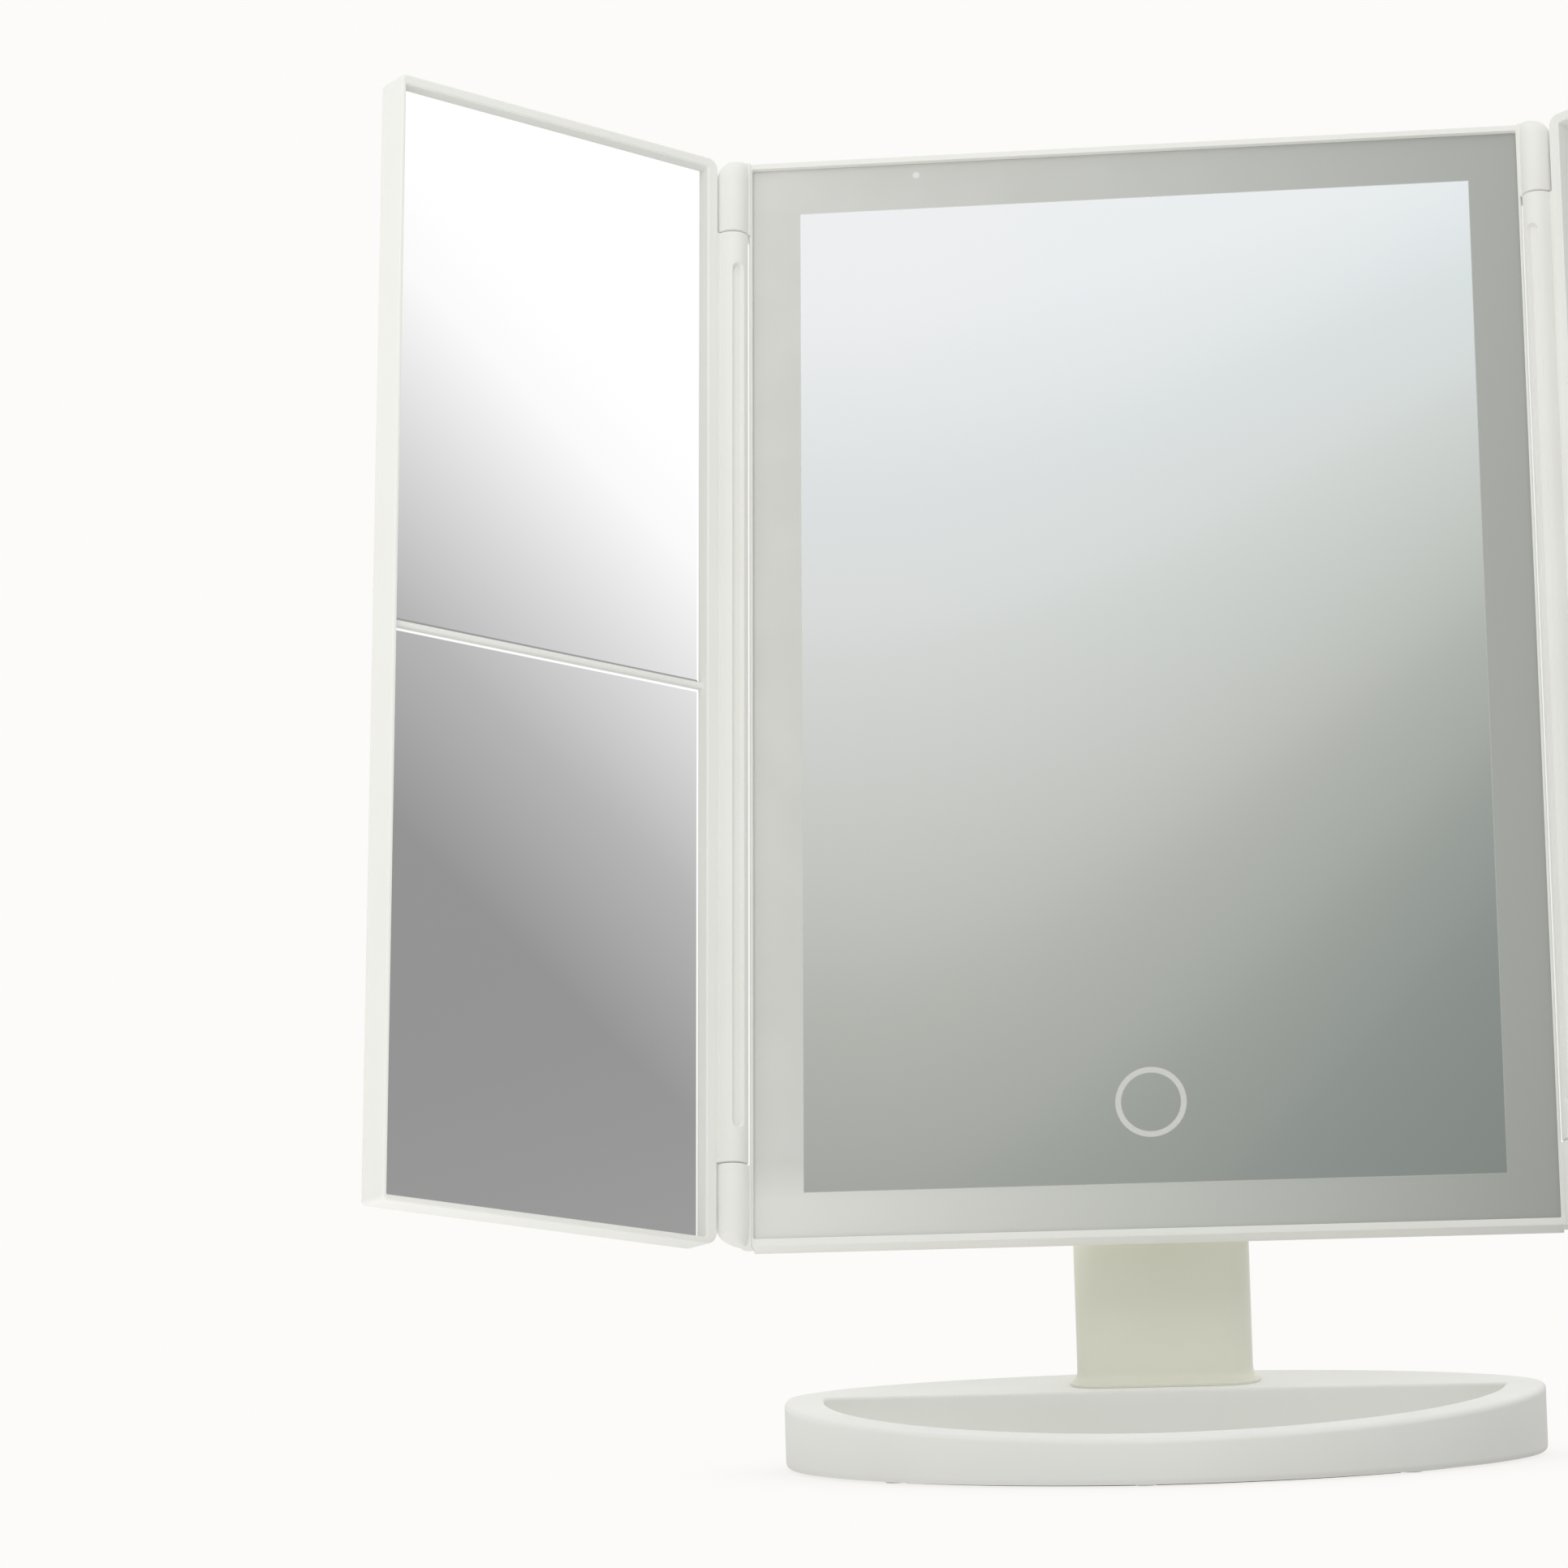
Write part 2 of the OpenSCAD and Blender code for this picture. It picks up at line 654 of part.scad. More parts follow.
// Round foil stuck to the back of the glass behind the touch ring
module touch_foil() {
    color([0.72, 0.45, 0.20]) in_head() translate([0, 0, -touch_drop])
        rod_y(touch_d / 2, glass_back, glass_back + foil_t);
}

module diffuser_frame() {
    color([0.97, 0.97, 0.95]) in_head() difference() {
        slab(plate_w, plate_h, glass_back, glass_back + diffuser_t);
        slab(opening_w - 2 * (border_w + diffuser_lap), opening_h - 2 * (border_w + diffuser_lap),
            0, head_depth);
    }
}

// --- head: light ---------------------------------------------------------------

// One strip along X with its chips, on the front of the back plate
module strip(length) {
    count = floor((length - chip_l) / chip_pitch / 2);
    slab(length, strip_w, plate_at - strip_t, plate_at);
    for (i = [-count : count]) translate([i * chip_pitch, 0, 0])
        slab(chip_l, chip_w, plate_at - strip_t - chip_h, plate_at - strip_t + eps);
}

module led_strip_top() {
    color([0.95, 0.93, 0.80]) in_head() translate([0, 0, strip_z]) strip(plate_w - 2 * strip_end);
}

module led_strip_bottom() {
    color([0.95, 0.93, 0.80]) in_head() translate([0, 0, -strip_z]) strip(plate_w - 2 * strip_end);
}

module led_strip_left() {
    color([0.95, 0.93, 0.80]) in_head() translate([-strip_x, 0, 0]) rotate([0, 90, 0])
        strip(plate_h - 2 * strip_side_end);
}

module led_strip_right() {
    color([0.95, 0.93, 0.80]) in_head() translate([strip_x, 0, 0]) rotate([0, 90, 0])
        strip(plate_h - 2 * strip_side_end);
}

module led_backplate() {
    color([0.94, 0.94, 0.94]) in_head() slab(plate_w, plate_h, plate_at, plate_back);
}

// Foam that presses the glass forward off the back plate, cut round the touch foil
module foam_pad() {
    color([0.30, 0.30, 0.31]) in_head() difference() {
        slab(plate_w - 2 * foam_inset, plate_h - 2 * foam_inset, glass_back, plate_at);
        translate([0, 0, -touch_drop]) rod_y(touch_d / 2 + foam_gap, glass_back - 1,
            plate_at + 1);
    }
}

// --- head: rear housing --------------------------------------------------------

// Children on the right and, mirrored, on the left
module each_side() {
    for (m = [0, 1]) mirror([m, 0, 0]) children();
}

// Children at the bracket's four screws
module at_bracket_screws() {
    each_side() for (z = [-bracket_screw_z, bracket_screw_z])
        translate([bracket_w / 2 - bracket_screw_in, 0, tilt_v + z]) children();
}

module rear_housing() {
    color([0.91, 0.91, 0.88]) in_head() difference() {
        union() {
            difference() {
                soft_block(outer_w, outer_h, bezel_depth, head_depth, rear_round);
                soft_block(outer_w - 2 * shell_wall, outer_h - 2 * shell_wall,
                    bezel_depth - 1, inner_back, rear_round - shell_wall);
            }
            intersection() {
                for (p = housing_bosses) translate([p.x, 0, p.y])
                    rod_y(boss_r, bezel_depth, head_depth);
                soft_block(outer_w, outer_h, bezel_depth, head_depth, rear_round);
            }
            translate([0, 0, box_z]) slab(box_w, box_h, plate_back, box_back);
        }
        translate([0, 0, box_z]) slab(bay_w, bay_h, plate_back - 1, box_back + 1);
        translate([0, 0, box_z]) slab(bay_w + box_wall, bay_h + box_wall, bay_back, box_back + 1);
        for (p = housing_bosses) translate([p.x, 0, p.y]) {
            rod_y(screw_r + screw_gap, bezel_depth - 1, head_depth);
            rod_y(screw_head_r + screw_gap, inner_back - head_sink, head_depth + 1);
        }
        each_side() translate([ear_x - screw_gap, inner_back - 1, tilt_v - ear_r - screw_gap])
            cube([bracket_t + 2 * screw_gap, shell_wall + 2, 2 * (ear_r + screw_gap)]);
        at_bracket_screws() rod_y(screw_r + screw_gap, inner_back - 1, head_depth - 0.3);
        translate([port_x, 0, board_z]) slab(knob_l + switch_travel + 2 * port_gap,
            knob_w + 2 * port_gap, inner_back - 1, head_depth + 1);
        translate([-port_x, 0, board_z]) slab(usb_w + 2 * port_gap, usb_h + 2 * port_gap,
            inner_back - 1, head_depth + 1);
    }
}

module housing_screws() {
    color([0.75, 0.75, 0.76]) in_head() for (p = housing_bosses) translate([p.x, 0, p.y]) {
        rod_y(screw_r, glass_back + 0.3, inner_back - head_sink + eps);
        rod_y(screw_head_r, inner_back - head_sink, inner_back - head_sink + screw_head_h);
    }
}

// --- head: power ---------------------------------------------------------------

module batteries() {
    color([0.25, 0.45, 0.30]) in_head() for (c = [-1, 1], r = [-1, 1])
        translate([c * cell_x, cell_y, box_z + r * cell_z]) {
            rod_x(cell_d / 2, -cell_l / 2, cell_l / 2 - button_h);
            rod_x(button_r, cell_l / 2 - button_h - eps, cell_l / 2);
        }
}

// Spring plates at the bay's two ends and its middle, seated on the back plate
module battery_contacts() {
    middle = cell_x - cell_l / 2 - contact_gap;
    end = cell_x + cell_l / 2 + contact_gap;
    color([0.80, 0.80, 0.80]) in_head() for (r = [-1, 1]) translate([0, 0, box_z + r * cell_z]) {
        slab(2 * middle, contact_w, plate_back, cell_y + contact_w / 2);
        each_side() block(end, bay_w / 2, plate_back, cell_y + contact_w / 2,
            -contact_w / 2, contact_w / 2);
    }
}

module battery_cover() {
    color([0.91, 0.91, 0.88]) in_head() translate([0, 0, box_z])
        slab(bay_w + box_wall - 2 * cover_gap, bay_h + box_wall - 2 * cover_gap,
            bay_back + cover_seat, box_back);
}

module driver_board() {
    color([0.10, 0.40, 0.22]) in_head() translate([0, 0, board_z])
        slab(board_w, board_h, plate_back, board_back);
}

// Chips on the board, each with its place x, z, its width, height and thickness
board_parts = [[0, 0, 6, 5, 1.2], [-9, 6, 4, 3, 1], [9, -6, 3, 2, 0.8],
    [-4, 7, 2, 1.2, 0.6], [0, 7, 2, 1.2, 0.6], [4, 7, 2, 1.2, 0.6]];

module board_chips() {
    color([0.12, 0.12, 0.13]) in_head() for (c = board_parts)
        translate([c[0], 0, board_z + c[1]]) slab(c[2], c[3], board_back, board_back + c[4]);
}

// Sheet-metal socket that opens through the back of the housing
module usb_socket() {
    color([0.78, 0.79, 0.80]) in_head() translate([-port_x, 0, board_z]) difference() {
        slab(usb_w, usb_h, board_back, head_depth - 0.2);
        slab(usb_w - 2 * usb_wall, usb_h - 2 * usb_wall, board_back + usb_wall, head_depth);
    }
}

module switch_body() {
    color([0.15, 0.15, 0.16]) in_head() translate([port_x, 0, board_z])
        slab(knob_l + switch_travel + 2 * switch_margin, knob_w + 2 * switch_margin,
            board_back, inner_back - head_sink - 0.3);
}

// Knob at its off end, so it travels towards the middle of the head's right side
module switch_knob() {
    color([0.20, 0.20, 0.21]) in_head()
        translate([port_x - switch_travel / 2, 0, board_z])
            slab(knob_l, knob_w, inner_back - head_sink, head_depth + knob_proud);
}

// Wires that lie on the back plate: battery box to board, board to the strips
module wire_harness() {
    box_top = box_z + box_h / 2;
    board_bottom = board_z - board_h / 2;
    color([0.70, 0.12, 0.10]) in_head() {
        for (x = [-wire_x, wire_x]) translate([x, plate_back + wire_r, box_top + wire_gap])
            cylinder(r = wire_r, h = board_bottom - box_top - 2 * wire_gap);
        each_side() translate([0, plate_back + wire_r, board_z])
            rod_x(wire_r, board_w / 2 + wire_gap, plate_w / 2 - strip_w / 2);
    }
}

// --- tilt hinge ----------------------------------------------------------------

// Bent steel sheet: a plate inside the housing and two ears through its back
module tilt_bracket() {
    color([0.66, 0.67, 0.69]) in_head() difference() {
        union() {
            translate([0, 0, tilt_v]) slab(bracket_w, 2 * (ear_r + bracket_margin),
                inner_back - bracket_t, inner_back);
            each_side() translate([ear_x, 0, tilt_v]) {
                translate([0, inner_back - bracket_t, -ear_r])
                    cube([bracket_t, tilt_depth - inner_back + bracket_t, 2 * ear_r]);
                translate([0, tilt_depth, 0]) rod_x(ear_r, 0, bracket_t);
            }
        }
        translate([0, tilt_depth, tilt_v]) rod_x(tilt_pin_r + pin_gap, -far / 2, far / 2);
        at_bracket_screws() rod_y(screw_r + screw_gap, 0, head_depth);
    }
}

module bracket_screws() {
    color([0.75, 0.75, 0.76]) in_head() at_bracket_screws() {
        rod_y(screw_r, inner_back - bracket_t - eps, head_depth - 0.4);
        rod_y(screw_head_r, inner_back - bracket_t - screw_head_h, inner_back - bracket_t);
    }
}

// Pin with a flat head on the left ear
module tilt_pin() {
    ear_out = ear_x + bracket_t;
    color([0.70, 0.71, 0.72]) in_head() translate([0, tilt_depth, tilt_v]) {
        rod_x(tilt_pin_r, -ear_out - eps, ear_out + nut_t + 0.4);
        rod_x(tilt_pin_r + 2, -ear_out - pin_head_t, -ear_out);
    }
}

module tilt_nut() {
    ear_out = ear_x + bracket_t;
    color([0.75, 0.75, 0.76]) in_head() translate([0, tilt_depth, tilt_v]) difference() {
        translate([ear_out, 0, 0]) rotate([0, 90, 0]) cylinder(r = nut_r, h = nut_t, $fn = 6);
        rod_x(tilt_pin_r + pin_gap, 0, far);
    }
}

module tilt_washers() {
    color([0.18, 0.18, 0.19]) in_head() translate([0, tilt_depth, tilt_v]) each_side()
        difference() {
            rod_x(bush_r, neck_w / 2 + washer_gap, neck_w / 2 + washer_gap + washer_t);
            rod_x(tilt_pin_r + pin_gap, 0, neck_w);
        }
}

// --- wings ---------------------------------------------------------------------
// Each module here draws in a wing's own frame: x outward from the hinge axis, y to its
// back, z up. The wing's front lip lies in the plane of the axis.

// Outline of the whole wing, standing in the plane of x and z, from depth y0 to y1
module wing_plate(y0, y1) {
    translate([0, y1, 0]) rotate([90, 0, 0]) linear_extrude(y1 - y0)
        rounded_plate(wing_start, wing_w, -outer_h / 2, outer_h / 2, wing_corner,
            wing_outer_corner);
}

// Box from x0 to x1, depth y0 to y1, height z0 to z1
module block(x0, x1, y0, y1, z0, z1) {
    translate([x0, y0, z0]) cube([x1 - x0, y1 - y0, z1 - z0]);
}

module wing_frame(panes) {
    difference() {
        wing_plate(0, wing_frame_t);
        block(wing_mirror_in, wing_mirror_out, -1, tape_back, wing_mirror_bottom,
            wing_mirror_top);
        block(wing_mirror_in, wing_mirror_out, tape_back + wing_floor, wing_t,
            wing_mirror_bottom, wing_mirror_top);
    }
    if (panes == 2) block(wing_mirror_in - eps, wing_mirror_out + eps, divider_recess,
        tape_back + eps, divider_z - divider_h / 2, divider_z + divider_h / 2);
}

// Pane between heights z0 and z1 of the opening, from depth y0 to y1
module wing_pane(z0, z1, y0, y1) {
    block(wing_mirror_in + glass_gap, wing_mirror_out - glass_gap, y0, y1, z0 + glass_gap,
        z1 - glass_gap);
}

// Long groove with round ends, cut into the barrel from its front
module barrel_groove() {
    low = barrel_bottom + groove_end;
    high = barrel_top - groove_end;
    rotate([0, 0, groove_turn]) {
        for (z = [low + groove_w / 2, high - groove_w / 2]) translate([0, 0, z])
            rod_y(groove_w / 2, -2 * barrel_r, groove_depth - barrel_r);
        block(-groove_w / 2, groove_w / 2, -2 * barrel_r, groove_depth - barrel_r,
            low + groove_w / 2, high - groove_w / 2);
    }
}

// Barrel between the knuckles, its web to the frame, its pin holes and its groove
module hinge_barrel() {
    difference() {
        union() {
            translate([0, 0, barrel_bottom])
                cylinder(r = barrel_r, h = barrel_top - barrel_bottom);
            block(0, wing_start, web_front, barrel_r, barrel_bottom, barrel_top);
        }
        translate([0, 0, barrel_top - pin_hold])
            cylinder(r = pin_r + pin_gap, h = pin_hold + 1);
        translate([0, 0, barrel_bottom - 1]) cylinder(r = pin_r + pin_gap, h = pin_hold + 1);
        barrel_groove();
    }
}

// Upper and lower pin, half in the barrel and half in a knuckle
module hinge_pins() {
    for (z = [barrel_top - pin_hold + 0.2, barrel_bottom - pin_hold + 0.2])
        translate([0, 0, z]) cylinder(r = pin_r, h = 2 * pin_hold - 0.4);
}

module left_wing_frame() {
    color([0.92, 0.92, 0.89]) in_left_wing() wing_frame(2);
}

module left_wing_back() {
    color([0.91, 0.91, 0.88]) in_left_wing() wing_plate(wing_frame_t, wing_t);
}

module left_upper_mirror() {
    color([0.82, 0.85, 0.86]) in_left_wing() wing_pane(divider_z + divider_h / 2,
        wing_mirror_top, wing_recess, pane_back);
}

module left_lower_mirror() {
    color([0.70, 0.72, 0.74]) in_left_wing() wing_pane(wing_mirror_bottom,
        divider_z - divider_h / 2, wing_recess, pane_back);
}

module left_mirror_tape() {
    color([0.25, 0.25, 0.26]) in_left_wing() {
        wing_pane(divider_z + divider_h / 2 + tape_inset, wing_mirror_top - tape_inset,
            pane_back, tape_back);
        wing_pane(wing_mirror_bottom + tape_inset, divider_z - divider_h / 2 - tape_inset,
            pane_back, tape_back);
    }
}

module left_hinge_barrel() {
    color([0.92, 0.92, 0.89]) in_left_wing() hinge_barrel();
}

module left_hinge_pins() {
    color([0.66, 0.67, 0.69]) in_left_wing() hinge_pins();
}

module right_wing_frame() {
    color([0.92, 0.92, 0.89]) in_right_wing() wing_frame(1);
}

module right_wing_back() {
    color([0.91, 0.91, 0.88]) in_right_wing() wing_plate(wing_frame_t, wing_t);
}

module right_mirror() {
    color([0.78, 0.82, 0.83]) in_right_wing() wing_pane(wing_mirror_bottom, wing_mirror_top,
        wing_recess, pane_back);
}

module right_mirror_tape() {
    color([0.25, 0.25, 0.26]) in_right_wing() wing_pane(wing_mirror_bottom + tape_inset,
        wing_mirror_top - tape_inset, pane_back, tape_back);
}

module right_hinge_barrel() {
    color([0.92, 0.92, 0.89]) in_right_wing() hinge_barrel();
}

module right_hinge_pins() {
    color([0.66, 0.67, 0.69]) in_right_wing() hinge_pins();
}

base_tray();
base_bottom_plate();
base_pad();
weight_plate();
base_screws();
neck_core();
neck_front_shell();
neck_rear_shell();
centre_bezel();
rear_housing();
centre_mirror();
touch_foil();
diffuser_frame();
led_strip_top();
led_strip_bottom();
led_strip_left();
led_strip_right();
led_backplate();
foam_pad();
driver_board();
board_chips();
usb_socket();
switch_body();
switch_knob();
batteries();
battery_contacts();
battery_cover();
wire_harness();
housing_screws();
tilt_bracket();
bracket_screws();
tilt_pin();
tilt_nut();
tilt_washers();
left_hinge_pins();
right_hinge_pins();
left_wing_frame();
left_wing_back();
left_upper_mirror();
left_lower_mirror();
left_mirror_tape();
left_hinge_barrel();
right_wing_frame();
right_wing_back();
right_mirror();
right_mirror_tape();
right_hinge_barrel();
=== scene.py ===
# %% [markdown]
# # A trifold vanity mirror
# A lit centre mirror stands on a neck in a half-moon tray, with a narrow mirror wing on each
# side. The solids of the frame give every size. This script dresses them: it replaces each
# visible shell by a surface with soft moulded edges, and gives every piece a finish.

# %% Frame
import bpy
import bmesh
import json
import math
import numpy as np
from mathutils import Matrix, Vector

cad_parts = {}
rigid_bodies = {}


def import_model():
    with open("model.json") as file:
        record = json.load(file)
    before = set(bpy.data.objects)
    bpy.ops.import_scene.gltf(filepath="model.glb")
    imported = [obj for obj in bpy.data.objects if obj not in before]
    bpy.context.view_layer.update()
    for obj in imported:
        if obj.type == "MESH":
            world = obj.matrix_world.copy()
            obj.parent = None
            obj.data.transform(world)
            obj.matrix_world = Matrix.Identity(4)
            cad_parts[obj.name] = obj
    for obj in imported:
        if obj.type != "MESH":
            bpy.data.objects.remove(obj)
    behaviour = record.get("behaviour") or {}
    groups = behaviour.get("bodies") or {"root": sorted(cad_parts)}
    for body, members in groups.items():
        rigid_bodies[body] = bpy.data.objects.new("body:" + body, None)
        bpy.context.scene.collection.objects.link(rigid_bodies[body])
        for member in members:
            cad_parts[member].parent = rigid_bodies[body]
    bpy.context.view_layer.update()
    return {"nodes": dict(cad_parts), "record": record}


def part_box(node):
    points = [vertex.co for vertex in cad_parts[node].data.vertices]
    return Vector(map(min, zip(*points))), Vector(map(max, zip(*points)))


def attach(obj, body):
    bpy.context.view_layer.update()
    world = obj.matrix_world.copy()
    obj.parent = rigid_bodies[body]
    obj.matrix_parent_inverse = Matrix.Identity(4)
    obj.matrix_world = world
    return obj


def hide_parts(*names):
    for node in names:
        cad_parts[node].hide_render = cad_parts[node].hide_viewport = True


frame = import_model()
MM = 0.001
DECIMETRE = 100.0

# %% [markdown]
# ## Where things stand
# Each part of the mirror is easiest to draw in its own straight frame: the head as if it stood
# upright, a wing as if it lay in the plane of its hinge. Three small functions carry those
# drawings to their leaning, folded places. They are plain rotations, written for whole arrays.

# %% Places
LEAN = math.radians(12.45)
WING = math.radians(43.7)
NECK_Y, TILT_Z = 13.0, 66.0
TILT_DEPTH, TILT_V = 22.2, -98.5
HINGE_X, HINGE_FRONT = 88.5, 1.0


def on_stand(p):
    """Millimetres in the stand's frame to metres: the stand's frame is the object's own."""
    return p * MM


def on_head(p):
    """x stays, depth and height turn about the tilt axis by the lean: y = cos y' + sin z',
    z = cos z' - sin y', where y' and z' are measured from the tilt axis."""
    y, z = p[..., 1] - TILT_DEPTH, p[..., 2] - TILT_V
    c, s = math.cos(LEAN), math.sin(LEAN)
    return np.stack([p[..., 0], NECK_Y + c * y + s * z, TILT_Z + c * z - s * y], -1) * MM


def on_wing(side):
    """side -1 is left, 1 is right. The wing's x runs outward from its hinge axis and its y to
    its back: both turn by the wing's angle about the axis, and the head then leans them."""
    c, s = math.cos(WING), math.sin(WING)

    def place(p):
        x, y = p[..., 0], p[..., 1]
        return on_head(np.stack([side * (HINGE_X + c * x + s * y),
                                 c * y - s * x - HINGE_FRONT, p[..., 2]], -1))
    return place


# %% [markdown]
# ## Skins
# Nearly every piece here is a skin over a stack of closed loops: the first loop may be the edge
# of a back, the next ones go round a soft corner, across a lip, and down a wall. One function
# joins the loops, keeps each point's own flat coordinates as a UV map in decimetres, turns the
# faces outward and marks the hard creases, so that rounded edges shade softly.

# %% Skin helper
# Edges that turn by more than CREASE degrees are hard, points nearer than WELD metres are one,
# and SHARP is the radius of a corner that looks sharp.
CREASE, WELD, SHARP = 33, 2e-6, 0.02


def skin(name, parts, place, body, finish, nodes=()):
    """Builds one piece from parts = [(loops, closed)], where loops is an array (loops, points,
    3) in millimetres. Face (i, j) joins points j and j + 1 of loops i and i + 1. A closed
    stack joins its last loop to its first, and an open one gets a lid at each end."""
    points, faces = [], []
    start = 0
    for loops, closed in parts:
        count, size = loops.shape[:2]
        index = start + np.arange(count * size).reshape(count, size)
        low = index if closed else index[:-1]
        high = np.roll(index, -1, 0) if closed else index[1:]
        quads = np.stack([low, np.roll(low, -1, 1), np.roll(high, -1, 1), high], -1)
        faces += quads.reshape(-1, 4).tolist()
        if not closed:
            faces += [index[0, ::-1].tolist(), index[-1].tolist()]
        points.append(loops.reshape(-1, 3))
        start += count * size
    points = np.concatenate(points)
    mesh = bpy.data.meshes.new(name)
    mesh.from_pydata(place(points).tolist(), [], faces)
    flat = mesh.uv_layers.new(name="flat")
    corner = np.zeros(len(mesh.loops), np.int32)
    mesh.loops.foreach_get("vertex_index", corner)
    front_view = points[corner][:, [0, 2]] / DECIMETRE
    flat.data.foreach_set("uv", front_view.astype(np.float32).ravel())
    work = bmesh.new()
    work.from_mesh(mesh)
    bmesh.ops.remove_doubles(work, verts=work.verts, dist=WELD)
    bmesh.ops.recalc_face_normals(work, faces=work.faces)
    work.to_mesh(mesh)
    work.free()
    mesh.polygons.foreach_set("use_smooth", np.ones(len(mesh.polygons), bool))
    mesh.set_sharp_from_angle(angle=math.radians(CREASE))
    piece = bpy.data.objects.new(name, mesh)
    bpy.context.scene.collection.objects.link(piece)
    mesh.materials.append(finish)
    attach(piece, body)
    if nodes:
        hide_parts(*nodes)
    print(f"{name}: {len(mesh.polygons)} faces")
    return piece


def box_outline(x0, x1, z0, z1, radii, arc=8, side=6):
    """Rectangle with a quarter circle at each corner, anticlockwise from the lower left: corner
    k sits at centre + r (cos a, sin a) with a from 180 + 90 k to 270 + 90 k degrees, and the
    sides between the corners are divided evenly. Returns an array (points, 2)."""
    r = np.maximum(radii, SHARP)
    cx = np.array([x0 + r[0], x1 - r[1], x1 - r[2], x0 + r[3]])
    cz = np.array([z0 + r[0], z0 + r[1], z1 - r[2], z1 - r[3]])
    a = np.radians(np.linspace(180, 270, arc)[None] + 90 * np.arange(4)[:, None])
    ring = np.stack([cx[:, None] + r[:, None] * np.cos(a),
                     cz[:, None] + r[:, None] * np.sin(a)], -1)
    ends = np.roll(ring[:, 0], -1, 0)
    t = np.linspace(0, 1, side + 1)[1:-1, None]
    sides = ring[:, -1][:, None] * (1 - t) + ends[:, None] * t
    return np.concatenate([ring, sides], 1).reshape(-1, 2)


def standing(outline, depth):
    """An outline drawn in the plane of x and z, set at one depth."""
    return np.insert(outline, 1, depth, axis=1)


def quarter(r, steps=6):
    """Points (inset, depth) of a quarter circle from the wall, (0, r), to the face, (r, 0)."""
    a = np.linspace(0, np.pi / 2, steps)
    return np.stack([r * (1 - np.cos(a)), r * (1 - np.sin(a))], -1)


# %% [markdown]
# ## The white plastic
# The shells are moulded in one warm white with a satin face: not glossy, but smooth enough to
# carry a soft highlight along each edge. A flat colour would look like paper, so very faint
# clouds tint it, the roughness wanders a little, and a fine grain in the bump, about a quarter
# of a millimetre across, stands for the etched face of the mould.

# %% Node helpers and shell finish
CLOUD_MM, WANDER_MM, PLASTIC_IOR = 35, 12, 1.49
GRAIN_STRENGTH, CLOUD_LOW, CLOUD_HIGH = 0.25, 0.35, 0.65
# Noise hardly leaves this range, which is spread over the whole of what it drives.
NOISE_LOW, NOISE_HIGH = 0.3, 0.7


def material(name):
    """A new material, with its node tree and its main shader."""
    made = bpy.data.materials.new(name)
    made.use_nodes = True
    tree = made.node_tree
    return made, tree, tree.nodes["Principled BSDF"]


def node(tree, kind, inputs=(), **settings):
    """Adds a node. settings are its properties, and inputs maps socket names or numbers to a
    constant or to another node's socket."""
    made = tree.nodes.new(kind)
    for key, value in settings.items():
        setattr(made, key, value)
    for key, value in dict(inputs).items():
        if isinstance(value, bpy.types.NodeSocket):
            tree.links.new(value, made.inputs[key])
        else:
            made.inputs[key].default_value = value
    return made


def maths(tree, operation, a, b=0.0):
    """One sum on two values, each a number or another node's socket."""
    return node(tree, "ShaderNodeMath", {0: a, 1: b}, operation=operation).outputs[0]


def spread(tree, value, low, high, out_low=0.0, out_high=1.0, smooth=False):
    """Maps value from low..high to out_low..out_high, held at the ends."""
    kind = "SMOOTHSTEP" if smooth else "LINEAR"
    return node(tree, "ShaderNodeMapRange",
                {"Value": value, "From Min": low, "From Max": high, "To Min": out_low,
                 "To Max": out_high}, interpolation_type=kind).outputs[0]


def clouds(tree, size_mm, detail=3.0, rough=0.5):
    """Noise with blobs about size_mm across, on the object's own coordinates."""
    where = node(tree, "ShaderNodeTexCoord").outputs["Object"]
    return node(tree, "ShaderNodeTexNoise", {"Vector": where, "Scale": 1000 / size_mm,
                "Detail": detail, "Roughness": rough}).outputs["Fac"]


def mix_colour(tree, factor, a, b):
    """Colour between a and b as factor goes from 0 to 1. The mix node keeps the sockets of
    its colours at places 6 and 7."""
    made = tree.nodes.new("ShaderNodeMix")
    made.data_type = "RGBA"
    for value, socket in ((factor, made.inputs[0]), (a, made.inputs[6]), (b, made.inputs[7])):
        if isinstance(value, bpy.types.NodeSocket):
            tree.links.new(value, socket)
        else:
            socket.default_value = value
    return made.outputs[2]


def plastic(name, dark, light, rough=(0.34, 0.44), grain_mm=0.25, grain=0.02):
    """Moulded plastic: cloudy colour, wandering roughness and a fine mould grain."""
    made, tree, shader = material(name)
    patch = spread(tree, clouds(tree, CLOUD_MM), CLOUD_LOW, CLOUD_HIGH)
    tree.links.new(mix_colour(tree, patch, (*dark, 1), (*light, 1)), shader.inputs["Base Color"])
    wander = spread(tree, clouds(tree, WANDER_MM), NOISE_LOW, NOISE_HIGH, *rough)
    tree.links.new(wander, shader.inputs["Roughness"])
    bump = node(tree, "ShaderNodeBump", {"Height": clouds(tree, grain_mm, 2.0),
                "Strength": GRAIN_STRENGTH, "Distance": grain * MM})
    tree.links.new(bump.outputs[0], shader.inputs["Normal"])
    shader.inputs["IOR"].default_value = PLASTIC_IOR
    return made


SHELL = plastic("white_shell", (0.885, 0.890, 0.850), (0.905, 0.908, 0.872))
# The neck gets a darker, yellower copy of the white plastic: painted shade, standing for the
# warm shade under the leaning head.
SHADED_NECK_SHELL = plastic("neck_painted_shade", (0.870, 0.865, 0.745), (0.890, 0.885, 0.775))
print("shell finish:", SHELL.name)

# %% [markdown]
# ## The tray base
# The base is one moulding: two half ovals meet on its widest line, the top slopes gently to the
# front, and a half-moon well for small things is sunk into it in front of the neck. An oval of
# power 1.85 is a little leaner than an ellipse. The loops run from the hollow underside, round
# the foot, up the side, over a soft rim and down into the well.

